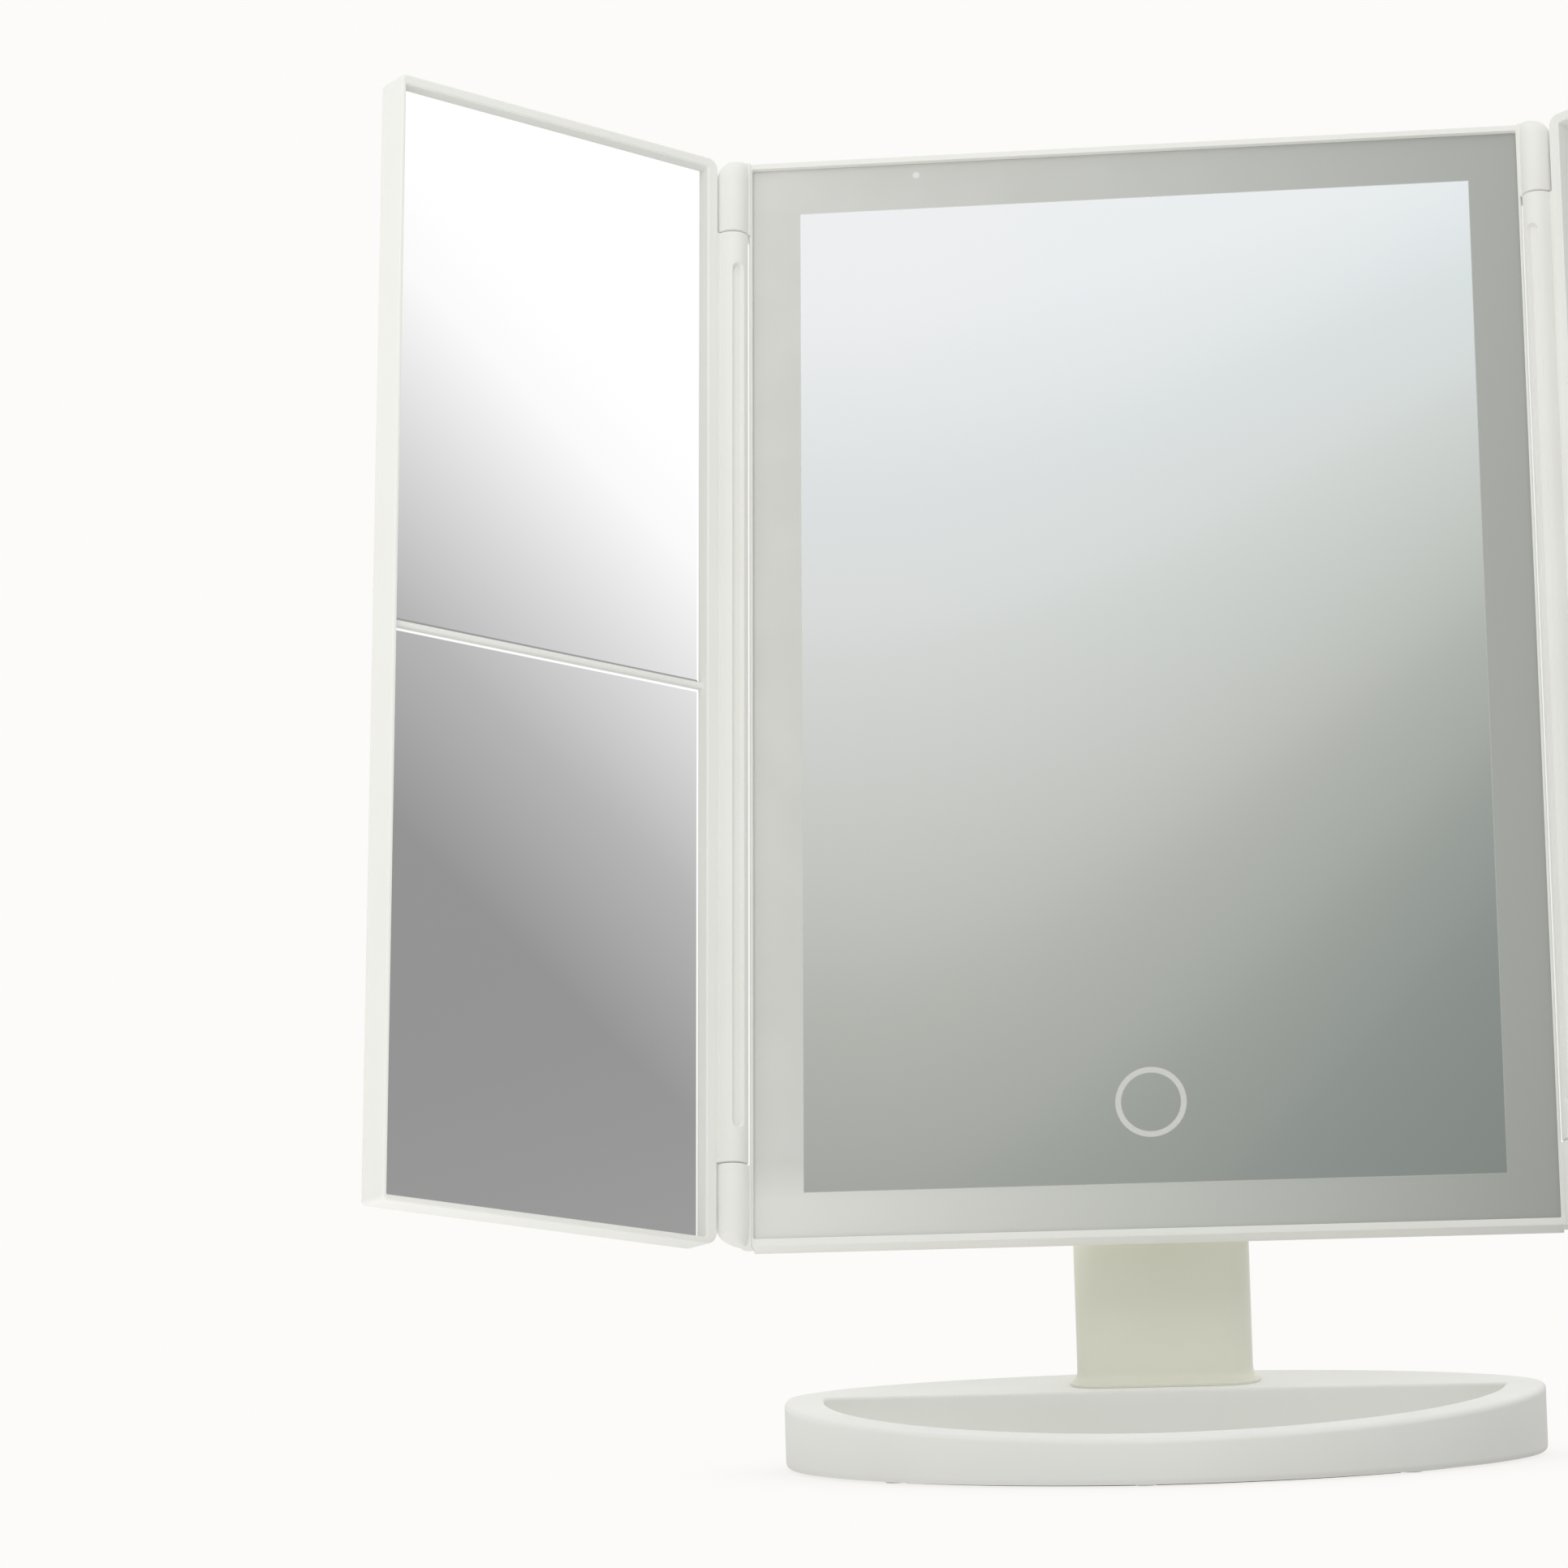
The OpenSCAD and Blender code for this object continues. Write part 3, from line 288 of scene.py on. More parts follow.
# %% Base outlines
HALF_W, FRONT, REAR, POWER = 80.0, 72.0, 31.0, 1.85
BASE_H, FALL = 14.87, 0.074
RIM, WELL_REAR, WELL_FLOOR = 8.4, 0.33, 4.4
TURN = np.radians(360 * (np.arange(240) + 0.5) / 240)


def signed_power(value):
    """The value's own sign, times its size to the power 2 / p."""
    return np.sign(value) * np.abs(value) ** (2 / POWER)


def oval(inset):
    """x = a cos(t)^(2/p), y = b sin(t)^(2/p) with signs kept: b is the rear or front depth."""
    depth = np.where(TURN < np.pi, REAR, FRONT) - inset
    return np.stack([(HALF_W - inset) * signed_power(np.cos(TURN)),
                     depth * signed_power(np.sin(TURN))], -1)


def well(grow):
    """The rim's inner oval, cut off straight at its rear: behind the widest line its points
    lie on the straight side, at the same turn as the rim's."""
    p = oval(RIM - grow)
    p[:, 1] = np.minimum(p[:, 1], grow - WELL_REAR)
    return p


def lying(outline, height):
    """An outline drawn in the plane of x and y, set at one height or at a height a point."""
    return np.concatenate([outline, np.broadcast_to(height, (len(outline), 1))], 1)


def deck(p):
    """Height of the sloping top: it falls towards the front."""
    return (BASE_H + FALL * p[:, 1])[:, None]


# %% Base tray
SKIRT, FOOT_R, RIM_R, LIP_R, WELL_R = 0.4, 1.4, 1.3, 0.7, 1.6
WALL, HOLLOW_UP = 2.0, 3.0
loops = [lying(oval(WALL), HOLLOW_UP), lying(oval(WALL), SKIRT)]
for inset, up in quarter(FOOT_R)[::-1]:
    loops.append(lying(oval(inset), SKIRT + up))
for inset, drop in quarter(RIM_R, 8):
    p = oval(inset)
    loops.append(lying(p, deck(p) - drop))
for grow, drop in quarter(LIP_R)[::-1]:
    p = well(grow)
    loops.append(lying(p, deck(p) - drop))
for inset, up in quarter(WELL_R):
    loops.append(lying(well(-inset), WELL_FLOOR + up))
skin("tray", [(np.array(loops), False)], on_stand, "stand", SHELL,
     ["base_tray"])

# %% [markdown]
# ## The neck
# The neck is a flat bar made of two half shells round a steel core. Its section is a rounded
# rectangle, its top is round where the head tilts over it, and its foot flares out in a small
# hollow curve before it meets the tray. Each half is a skin of its own, and a fine step along
# the joint leaves the hairline seam that the two halves have.

# %% Neck shells
NECK_W, NECK_D, NECK_R = 18.6, 7.0, 5.0
SEAM = 0.12
# The foot: how far and how high it flares, over a straight step, and its gap to the tray. Up
# to LEVEL_FROM the foot follows the sloping tray, and above it the loops are level.
FLARE_OUT, FLARE_UP, STEP_UP, FOOT_GAP, LEVEL_FROM = 1.6, 2.6, 0.5, 0.1, 0.6
BAR_HEIGHTS = (30, 48, TILT_Z)
ROUND_TURNS = np.linspace(0.15, 1.5, 9)


def neck_half(side):
    """Loops of the half at side -1 (front) or 1 (rear). A loop is half of a rounded rectangle,
    grown by the flare g = out (1 - sin(t)) at the height up (1 - cos(t)) over the step. Above
    the tilt axis |y| is held within the round top, sqrt(d^2 - (z - axis)^2)."""
    a = np.linspace(0, np.pi / 2, 9)
    stack = []
    foot = [(FLARE_OUT, 0.0), (FLARE_OUT, STEP_UP)]
    foot += [(FLARE_OUT * (1 - math.sin(t)), STEP_UP + FLARE_UP * (1 - math.cos(t)))
             for t in np.linspace(0, np.pi / 2, 8)]
    heights = [(g, None, up) for g, up in foot] + [(0.0, z, 0) for z in BAR_HEIGHTS]
    heights += [(0.0, TILT_Z + NECK_D * math.sin(t), 0) for t in ROUND_TURNS]
    for grow, z, up in heights:
        r = NECK_R + grow
        w, d = NECK_W + grow, NECK_D + grow
        right = np.stack([w - r + r * np.cos(a), d - r + r * np.sin(a)], -1)
        half = np.concatenate([[[w - SEAM, 0.0]], [[w, SEAM]], right,
                               right[::-1] * [-1, 1], [[-w, SEAM]], [[SEAM - w, 0.0]]])
        half[:, 1] *= side
        if z is None:
            slope = FALL * (NECK_Y + half[:, 1] * (up < LEVEL_FROM))
            z = BASE_H + slope + FOOT_GAP + up
        elif z > TILT_Z:
            top = math.sqrt(NECK_D ** 2 - (z - TILT_Z) ** 2)
            half[:, 1] = np.clip(half[:, 1], -top, top)
        stack.append(np.stack([half[:, 0], NECK_Y + half[:, 1],
                               np.broadcast_to(z, len(half))], -1))
    return np.array(stack)


# Both halves wear the darker, yellower copy of the plastic, which paints the shade under the
# head.
for name, side, cad in (("neck_front", -1, "neck_front_shell"),
                        ("neck_rear", 1, "neck_rear_shell")):
    skin(name, [(neck_half(side), False)], on_stand, "stand", SHADED_NECK_SHELL,
         [cad])

# %% [markdown]
# ## The centre frame
# A thin frame holds the big glass: little more than half a millimetre shows beside it, and a
# good millimetre above and below. It is one profile carried round a rectangle. Four knuckles
# stand on its sides, and the wings hang between them. A knuckle's outer corner is well
# rounded, which is the part of the outline that catches the eye where the panels meet.

# %% Frame ring
HALF_OPEN_W, HALF_OPEN_H, LOW_LIP = 84.28, 120.9, 0.33
HALF_OUT_W, HALF_OUT_H = 84.9, 122.2
BEZEL_BACK = 7.0
BARREL_R, KNUCKLE_TOP, KNUCKLE_LOW, KNUCKLE_GAP = 3.4, 17.0, 17.3, 0.3
# BACK_EDGE is the soft edge at the back of a frame or plate. Beside each edge of a lip lies a
# loop that is LIP_SHARE of that edge and for the rest the lip's middle line.
BACK_EDGE, LIP_SHARE = 0.12, 0.85
# Corner, front edge and lip radius of the centre frame
CENTRE_CORNER, CENTRE_EDGE, CENTRE_LIP = 0.8, 0.25, 0.12
# Front and back of a knuckle's web, and the cut at the web's corners
WEB_Y0, WEB_Y1, WEB_CUT = -0.6, 5.0, 0.3
# Height of a knuckle's dome and how far its outer side comes in, above and below
DOMES = {1: (4.2, 3.7), -1: (4.0, 5.2)}
# How far the dome brings in the side at the frame, and the front
DOME_INNER, DOME_FRONT = 0.9, 2.8
# The flat end of a knuckle or barrel: (distance from the end, how far the edge is drawn in)
END_EDGE = ((0.35, 0.0), (0.1, 0.1), (0.0, 0.35))


def frame_ring(outer, inner, corners, edge, lip_r, back, drop=0.0, inner_corner=0.3):
    """Closed stack of loops round a frame: back edge, wall, quarter circle, lip, a smaller
    quarter circle, inner wall. outer and inner are (x0, x1, z0, z1), and the lip's inner edge
    lies deeper than its outer one by drop."""
    def out(d, y):
        """The outer outline, drawn in by d, at the depth y."""
        x0, x1, z0, z1 = outer
        return standing(box_outline(x0 + d, x1 - d, z0 + d, z1 - d, corners - d), y)

    def inn(d, y):
        """The inner outline, let out by d, at the depth y."""
        x0, x1, z0, z1 = inner
        return standing(box_outline(x0 - d, x1 + d, z0 - d, z1 + d,
                                    np.full(4, inner_corner + d)), y)

    ring = [out(BACK_EDGE, back), out(0.0, back - BACK_EDGE)]
    ring += [out(d, y) for d, y in quarter(edge)]
    middle = (out(edge, 0.0) + inn(lip_r, 0.0)) / 2
    ring += [LIP_SHARE * rim + (1 - LIP_SHARE) * middle
             for rim in (out(edge, 0.0), inn(lip_r, 0.0))]
    ring += [inn(d, drop + y) for d, y in quarter(lip_r)[::-1]]
    ring += [inn(0.0, back)]
    return np.array(ring), True


def knuckle(length, top, side):
    """A knuckle's section is the hinge's circle with a web to the frame, carried up its
    length. In the end's last few millimetres the circle is drawn in like a dome: with
    e = 1 - sqrt(1 - (1 - h / tall)^2) at the distance h from the end, its outer side moves in
    by wide e, and its inner side and its front by their own lengths times e. top is 1 for an
    upper knuckle and -1 for a lower one."""
    tall, wide = DOMES[top]
    join = math.asin((WEB_Y0 + HINGE_FRONT) / BARREL_R)
    turn = np.linspace(join, -1.5 * np.pi, 60)
    heights = [tall * (1 - math.cos(t)) for t in np.linspace(0.0, np.pi / 2, 13)]
    places = [(h, 0.0) for h in heights] + [(length - up, pull) for up, pull in END_EDGE]
    stack = []
    for h, pull in places:
        e = 1 - math.sqrt(max(1 - max(1 - h / tall, 0) ** 2, 0))
        outside = HINGE_X + BARREL_R - wide * e - pull
        inside = HINGE_X - BARREL_R + DOME_INNER * e + pull
        deep = BARREL_R - pull - DOME_FRONT * e * (np.sin(turn) < 0)
        x = (outside + inside) / 2 - (outside - inside) / 2 * np.cos(turn)
        y = deep * np.sin(turn) - HINGE_FRONT
        web = np.array([[x[-1], WEB_Y1 - WEB_CUT], [x[-1] - WEB_CUT, WEB_Y1],
                        [HALF_OUT_W - WEB_CUT, WEB_Y1], [HALF_OUT_W - WEB_CUT, WEB_Y0]])
        p = np.concatenate([np.stack([x, y], -1), web])
        z = np.full(len(p), top * (HALF_OUT_H - h))
        stack.append(np.stack([side * p[:, 0], p[:, 1], z], -1))
    return np.array(stack), False


outer = (-HALF_OUT_W, HALF_OUT_W, -HALF_OUT_H, HALF_OUT_H)
inner = (-HALF_OPEN_W, HALF_OPEN_W, LOW_LIP - HALF_OPEN_H, HALF_OPEN_H)
parts = [frame_ring(outer, inner, np.full(4, CENTRE_CORNER), CENTRE_EDGE, CENTRE_LIP,
                    BEZEL_BACK)]
parts += [knuckle(KNUCKLE_TOP, 1, s) for s in (-1, 1)]
parts += [knuckle(KNUCKLE_LOW, -1, s) for s in (-1, 1)]
skin("centre_frame", parts, on_head, "head", SHELL, ["centre_bezel"])

# %% [markdown]
# ## The wings
# A wing is a shallow frame with a flat back. Its lip is widest at the hinge, and the mirror
# lies three millimetres deep, so the inside wall of the recess shows under the top lip. The
# left wing has two panes with a thin bar between them. The right wing has one tall pane.

# %% Wing frames and backs
WING_START, WING_END = 3.8, 86.67
WING_LIP_LOW, WING_LIP_TOP = 1.31, 2.33
PANE = (6.65, 85.62, WING_LIP_LOW - HALF_OUT_H, HALF_OUT_H - WING_LIP_TOP)
WING_BACK, WING_T, WING_BACK_R = 7.0, 9.0, 1.3
WING_CORNERS = np.array([2.5, 1.2, 1.2, 2.5])
WING_EDGE, WING_LIP_R, LIP_DROP = 0.55, 0.25, 0.15
# The dividing bar: its lower and upper side, its front and back, the radius of its front
# edges, and how far its ends run into the frame
BAR_Z0, BAR_Z1, BAR_FRONT, BAR_BACK, BAR_R, BAR_IN = -0.4, 0.9, 1.9, 6.0, 0.45, 0.3
# Distance from a plate's rounded edge to the loop that carries its flat face
FACE_IN = 0.5
WING_OUTER = (WING_START, WING_END, -HALF_OUT_H, HALF_OUT_H)


def plate(box, corners, front, back, front_r, back_r):
    """A flat plate: the front face's edge, its quarter circle, the wall and the rear one."""
    x0, x1, z0, z1 = box
    loops = [(front_r + FACE_IN, front)]
    loops += [(d, front + y) for d, y in quarter(front_r, 4)[::-1]]
    loops += [(d, back - y) for d, y in quarter(back_r, 7)] + [(back_r + FACE_IN, back)]
    return np.array([standing(box_outline(x0 + d, x1 - d, z0 + d, z1 - d, corners - d), y)
                     for d, y in loops]), False


def bar(x0, x1, z0, z1, front, back, r):
    """A bar along x with rounded front edges: one small section at each end."""
    section = box_outline(front, back, z0, z1, np.array([r, SHARP, SHARP, r]), arc=6,
                          side=2)
    return np.array([np.insert(section, 0, x, axis=1) for x in (x0, x1)]), False


for side, word in ((-1, "left"), (1, "right")):
    parts = [frame_ring(WING_OUTER, PANE, WING_CORNERS, WING_EDGE, WING_LIP_R, WING_BACK,
                        drop=LIP_DROP)]
    if side < 0:
        parts.append(bar(PANE[0] - BAR_IN, PANE[1] + BAR_IN, BAR_Z0, BAR_Z1, BAR_FRONT,
                         BAR_BACK, BAR_R))
    skin(f"{word}_frame", parts, on_wing(side), f"{word}_wing", SHELL,
         [f"{word}_wing_frame"])
    back = plate(WING_OUTER, WING_CORNERS, WING_BACK, WING_T, BACK_EDGE, WING_BACK_R)
    skin(f"{word}_back", [back], on_wing(side), f"{word}_wing", SHELL,
         [f"{word}_wing_back"])

# %% [markdown]
# ## The hinge barrels
# Between its two knuckles each wing has a long barrel, joined to its frame by a web. A round
# ended groove runs down the barrel's front. On a grid of turn and height the groove is simply
# where the radius drops: the distance to the groove's middle line decides how far.

# %% Barrels
GROOVE_W, GROOVE_D, GROOVE_END, GROOVE_TURN = 2.6, 1.1, 7.5, math.radians(11.7)
GROOVE_SOFT = 0.3
WEB_FRONT, WEB_LAP = 0.1, 0.2
# Heights of the fine loops at a groove's end, and how far past the end the wide ones start
FINE_LOOPS, WIDE_FROM = np.linspace(-0.4, 2.2, 27), 8
BARREL_TOP = HALF_OUT_H - KNUCKLE_TOP - KNUCKLE_GAP
BARREL_LOW = KNUCKLE_LOW + KNUCKLE_GAP - HALF_OUT_H


def barrel():
    """r(a, z) = R - depth * s(w/2 - distance), where s is a smooth step and the distance is
    measured round the barrel and, past the groove's ends, along it."""
    a = np.linspace(math.asin(WEB_FRONT / BARREL_R), -1.5 * np.pi, 150)
    low, high = BARREL_LOW + GROOVE_END, BARREL_TOP - GROOVE_END
    off_end, drawn_in = np.array(END_EDGE).T
    z = np.concatenate([(BARREL_LOW + off_end)[::-1], low + FINE_LOOPS,
                        np.linspace(low + WIDE_FROM, high - WIDE_FROM, 12),
                        (high - FINE_LOOPS)[::-1], BARREL_TOP - off_end])
    pull = np.zeros(len(z))
    pull[:3], pull[-3:] = drawn_in[::-1], drawn_in
    middle = -math.pi / 2 + GROOVE_TURN
    across = BARREL_R * np.abs(a - middle)[None]
    along = np.maximum(np.abs(z - (low + high) / 2) - (high - low - GROOVE_W) / 2, 0)[:, None]
    inside = np.clip((GROOVE_W / 2 - np.hypot(across, along)) / GROOVE_SOFT + 0.5,
                     0, 1)
    r = BARREL_R - pull[:, None] - GROOVE_D * inside ** 2 * (3 - 2 * inside)
    ring = np.stack([r * np.cos(a), r * np.sin(a), np.broadcast_to(z[:, None], r.shape)], -1)
    web = np.array([[WING_START + WEB_LAP, BARREL_R], [WING_START + WEB_LAP, WEB_FRONT]])
    side = np.stack([np.broadcast_to(web[None, :, 0], (len(z), 2)),
                     np.broadcast_to(web[None, :, 1], (len(z), 2)),
                     np.broadcast_to(z[:, None], (len(z), 2))], -1)
    return np.concatenate([ring, side], 1), False


for side, word in ((-1, "left"), (1, "right")):
    skin(f"{word}_barrel", [barrel()], on_wing(side), f"{word}_wing", SHELL,
         [f"{word}_hinge_barrel"])

# %% [markdown]
# ## Mirror glass
# Silvered glass is a near-perfect reflector, so what it shows is the room. Only the smallest
# marks make it glass and not an empty hole: a polished edge, faint haze and fingertip smears
# that widen the reflection here and there. A metallic shader with almost no roughness gives
# the silver. The wings' panes have it all over.

# %% Wing panes
SILVER_TONE, POLISH = (0.93, 0.935, 0.93, 1), 0.008
SMEAR_MM, SMEAR_ROUGH, DUST_MM, DUST_ROUGH = 60, 0.03, 1.2, 0.02
PANE_GAP, PANE_FRONT, PANE_BACK, PANE_CORNER = 0.1, 3.0, 4.8, 0.3
PANE_EDGE, PANE_BACK_EDGE = 0.15, 0.1


def silver(tree, shader):
    """Sets the shader to silvered glass and returns the roughness of its haze and smears."""
    smear = spread(tree, clouds(tree, SMEAR_MM, 4.0, 0.6), 0.55, 0.8, 0.0, SMEAR_ROUGH)
    dust = spread(tree, clouds(tree, DUST_MM, 2.0), 0.62, 0.75, 0.0, DUST_ROUGH)
    shader.inputs["Base Color"].default_value = SILVER_TONE
    shader.inputs["Metallic"].default_value = 1.0
    return maths(tree, "ADD", maths(tree, "ADD", smear, dust), POLISH)


WING_MIRROR, tree, shader = material("wing_mirror")
tree.links.new(silver(tree, shader), shader.inputs["Roughness"])

PANES = {"left_upper_pane": ("left_upper_mirror", -1, BAR_Z1, PANE[3]),
         "left_lower_pane": ("left_lower_mirror", -1, PANE[2], BAR_Z0),
         "right_pane": ("right_mirror", 1, PANE[2], PANE[3])}
for name, (cad, side, z0, z1) in PANES.items():
    pane = (PANE[0] + PANE_GAP, PANE[1] - PANE_GAP, z0 + PANE_GAP, z1 - PANE_GAP)
    glass = plate(pane, np.full(4, PANE_CORNER), PANE_FRONT, PANE_BACK, PANE_EDGE,
                  PANE_BACK_EDGE)
    skin(name, [glass], on_wing(side), "left_wing" if side < 0 else "right_wing", WING_MIRROR,
         [cad])

# %% [markdown]
# ## The centre glass
# The centre glass is silvered only inside a frosted border, which the light behind it shines
# through. Near the bottom a thin frosted ring marks the touch spot, and a small light speck
# lies in the border's top. The material draws them on the glass's own flat coordinates: a
# distance to a rectangle for the border, and a distance to a point for the ring and the speck.
# Frosted glass scatters light, so there the metal turns into a pale, rough surface under the
# same smooth front. The frost is paler along the bottom, which is painted light, and darker
# towards the right, which is painted shade.

# %% Centre glass
SILVER_W, SILVER_H, SILVER_MID = 73.64, 110.45, -0.2
RING_R, RING_LINE, RING_Z = 6.9, 0.6, -93.3
SPOT_X, SPOT_Z, SPOT_R = -47.7, 118.2, 0.75
BORDER_SOFT, RING_SOFT, SPOT_SOFT = 0.12, 0.08, 0.15
FROST_DARK, FROST_LIGHT = (0.66, 0.668, 0.63, 1), (0.70, 0.708, 0.675, 1)
# The frost's tone along the bottom is painted light, and its tone towards the right is painted
# shade.
FROST_PAINTED_LIGHT, FROST_PAINTED_SHADE = (0.80, 0.808, 0.765, 1), (0.42, 0.435, 0.41, 1)
RING_TONE, SPOT_TONE = (0.70, 0.71, 0.69, 1), (0.80, 0.81, 0.80, 1)
CENTRE_SILVER, FROST_ROUGH = (0.915, 0.93, 0.925, 1), (0.42, 0.42, 0.42, 1)
LOW_FROM, LOW_TO, SIDE_REACH, FROST_MM = -104, -112, 80, 18
COAT, COAT_ROUGH = 0.6, 0.02
GLASS_W, GLASS_H, GLASS_FRONT, GLASS_BACK = 84.26, 120.88, 1.5, 4.5
GLASS_CORNER, GLASS_EDGE = 0.4, 0.12

CENTRE_MIRROR, tree, shader = material("centre_mirror")
flat = node(tree, "ShaderNodeUVMap", uv_map="flat").outputs[0]
parts_of = node(tree, "ShaderNodeSeparateXYZ", {0: flat})
x, z = (maths(tree, "MULTIPLY", parts_of.outputs[k], DECIMETRE) for k in (0, 1))
past_x = maths(tree, "SUBTRACT", maths(tree, "ABSOLUTE", x), SILVER_W)
off_mid = maths(tree, "ABSOLUTE", maths(tree, "SUBTRACT", z, SILVER_MID))
past_z = maths(tree, "SUBTRACT", off_mid, SILVER_H)
border = spread(tree, maths(tree, "MAXIMUM", past_x, past_z), -BORDER_SOFT, BORDER_SOFT)


def away(tree, x, z, x0, z0):
    """Distance from (x0, z0) in millimetres."""
    dx, dz = maths(tree, "SUBTRACT", x, x0), maths(tree, "SUBTRACT", z, z0)
    total = maths(tree, "ADD", maths(tree, "MULTIPLY", dx, dx), maths(tree, "MULTIPLY", dz, dz))
    return maths(tree, "SQRT", total)


off_ring = maths(tree, "ABSOLUTE",
                 maths(tree, "SUBTRACT", away(tree, x, z, 0.0, RING_Z), RING_R))
ring = spread(tree, off_ring, RING_LINE + RING_SOFT, RING_LINE - RING_SOFT)
spot = spread(tree, away(tree, x, z, SPOT_X, SPOT_Z), SPOT_R + SPOT_SOFT,
              SPOT_R - SPOT_SOFT)
frost = maths(tree, "MAXIMUM", border, ring)

haze = silver(tree, shader)
grain = spread(tree, clouds(tree, FROST_MM), NOISE_LOW, NOISE_HIGH)
frost_colour = mix_colour(tree, grain, FROST_DARK, FROST_LIGHT)
# Painted light makes the frost paler along the bottom, and painted shade makes it darker towards
# the right. The ring and the speck keep their own tones.
for share, tone in ((spread(tree, z, LOW_FROM, LOW_TO), FROST_PAINTED_LIGHT),
                    (spread(tree, x, -SIDE_REACH, SIDE_REACH), FROST_PAINTED_SHADE),
                    (ring, RING_TONE), (spot, SPOT_TONE)):
    frost_colour = mix_colour(tree, share, frost_colour, tone)
tree.links.new(mix_colour(tree, frost, CENTRE_SILVER, frost_colour),
               shader.inputs["Base Color"])
tree.links.new(maths(tree, "SUBTRACT", 1.0, frost), shader.inputs["Metallic"])
tree.links.new(mix_colour(tree, frost, haze, FROST_ROUGH),
               shader.inputs["Roughness"])
shader.inputs["Coat Weight"].default_value = COAT
shader.inputs["Coat Roughness"].default_value = COAT_ROUGH

glass = plate((-GLASS_W, GLASS_W, LOW_LIP - GLASS_H, GLASS_H), np.full(4, GLASS_CORNER),
              GLASS_FRONT, GLASS_BACK, GLASS_EDGE, GLASS_EDGE)
skin("centre_glass", [glass], on_head, "head", CENTRE_MIRROR,
     ["centre_mirror"])

# %% [markdown]
# ## The battery cover
# The back carries a box for four cells with a cover that lifts off. Its grip is a row of four
# small ridges near the cover's top edge.

# %% Battery cover
COVER = (-55.4, 55.4, -73.6, -42.4)
COVER_FRONT, COVER_BACK, COVER_CORNER, COVER_IN_R, COVER_OUT_R = 24.6, 26.1, 1.2, 0.1, 0.35
GRIP_W, GRIP_LOW, GRIP_TOP, GRIP_STEP = 14, -50.0, -44.0, 1.8
RIDGE, RIDGE_FRONT, RIDGE_BACK = 0.45, 25.6, 26.4
low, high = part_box("battery_cover")
print("cover in the frame:", [round(v / MM, 1) for v in (*low, *high)])
cover_parts = [plate(COVER, np.full(4, COVER_CORNER), COVER_FRONT, COVER_BACK, COVER_IN_R,
                     COVER_OUT_R)]
cover_parts += [bar(-GRIP_W, GRIP_W, z - RIDGE, z + RIDGE, RIDGE_FRONT, RIDGE_BACK, SHARP)
                for z in np.arange(GRIP_LOW, GRIP_TOP, GRIP_STEP)]
skin("battery_door_cover", cover_parts, on_head, "battery_door", SHELL,
     ["battery_cover"])

# %% [markdown]
# ## Metal, rubber and the inner parts
# The bracket, pin, nut and screws stay the solids they are, in plated steel: a metallic shader
# with small patches of tone. The pad is matt rubber. Inside, the board, chips, cells and strips
# get the plain finishes that such parts have, in case someone opens the model. At the end every
# piece is switched off for glossy rays, so that the mirrors picture only the room.

# %% Other finishes
TONE_MM, ROUGH_MM, BUMP_MM = 4, 1.5, 0.3
DARKER, BUMP_STRENGTH, BUMP_DEEP = 0.85, 0.2, 0.01


def metal(name, colour, rough=(0.25, 0.4)):
    """Bare metal: a slightly patchy tone and roughness, and a fine bump."""
    made, tree, shader = material(name)
    shader.inputs["Metallic"].default_value = 1.0
    tone = spread(tree, clouds(tree, TONE_MM), NOISE_LOW, NOISE_HIGH)
    dark = tuple(DARKER * v for v in colour)
    tree.links.new(mix_colour(tree, tone, (*dark, 1), (*colour, 1)),
                   shader.inputs["Base Color"])
    wander = spread(tree, clouds(tree, ROUGH_MM, 4.0), NOISE_LOW, NOISE_HIGH, *rough)
    tree.links.new(wander, shader.inputs["Roughness"])
    bump = node(tree, "ShaderNodeBump", {"Height": clouds(tree, BUMP_MM),
                "Strength": BUMP_STRENGTH, "Distance": BUMP_DEEP * MM})
    tree.links.new(bump.outputs[0], shader.inputs["Normal"])
    return made


FINISHES = {
    "bright_steel": metal("bright_steel", (0.72, 0.72, 0.71)),
    "grey_steel": metal("grey_steel", (0.55, 0.56, 0.57), (0.35, 0.5)),
    "copper_foil": metal("copper_foil", (0.80, 0.48, 0.30)),
    "black_rubber": plastic("black_rubber", (0.022, 0.022, 0.023), (0.034, 0.034, 0.035),
                            (0.75, 0.9), 0.6, 0.05),
    "dark_foam": plastic("dark_foam", (0.05, 0.05, 0.05), (0.075, 0.075, 0.075), (0.9, 1.0),
                         0.5, 0.1),
    "black_plastic": plastic("black_plastic", (0.018, 0.018, 0.02), (0.03, 0.03, 0.032),
                             (0.4, 0.55)),
    "green_board": plastic("green_board", (0.02, 0.13, 0.06), (0.03, 0.17, 0.08), (0.25, 0.4)),
    "battery_jacket": plastic("battery_jacket", (0.03, 0.10, 0.05), (0.04, 0.13, 0.07),
                              (0.2, 0.3)),
    "red_wire": plastic("red_wire", (0.45, 0.02, 0.02), (0.55, 0.03, 0.02), (0.4, 0.5)),
    "opal_plastic": plastic("opal_plastic", (0.86, 0.86, 0.84), (0.90, 0.90, 0.88), (0.5, 0.6)),
    "white_plate": plastic("white_plate", (0.82, 0.82, 0.82), (0.86, 0.86, 0.86), (0.6, 0.7)),
    "light_strip": plastic("light_strip", (0.80, 0.76, 0.50), (0.88, 0.84, 0.62), (0.4, 0.5)),
    "white_satin_plastic": SHELL,
    "centre_mirror_glass": CENTRE_MIRROR,
    "wing_mirror_glass": WING_MIRROR,
}
for part in frame["record"]["subparts"]:
    solid = frame["nodes"][part["node"]]
    solid.data.materials.clear()
    solid.data.materials.append(FINISHES[part["material_slot"]])
for piece in bpy.data.objects:
    piece.visible_glossy = False
print("finishes:", len(FINISHES))

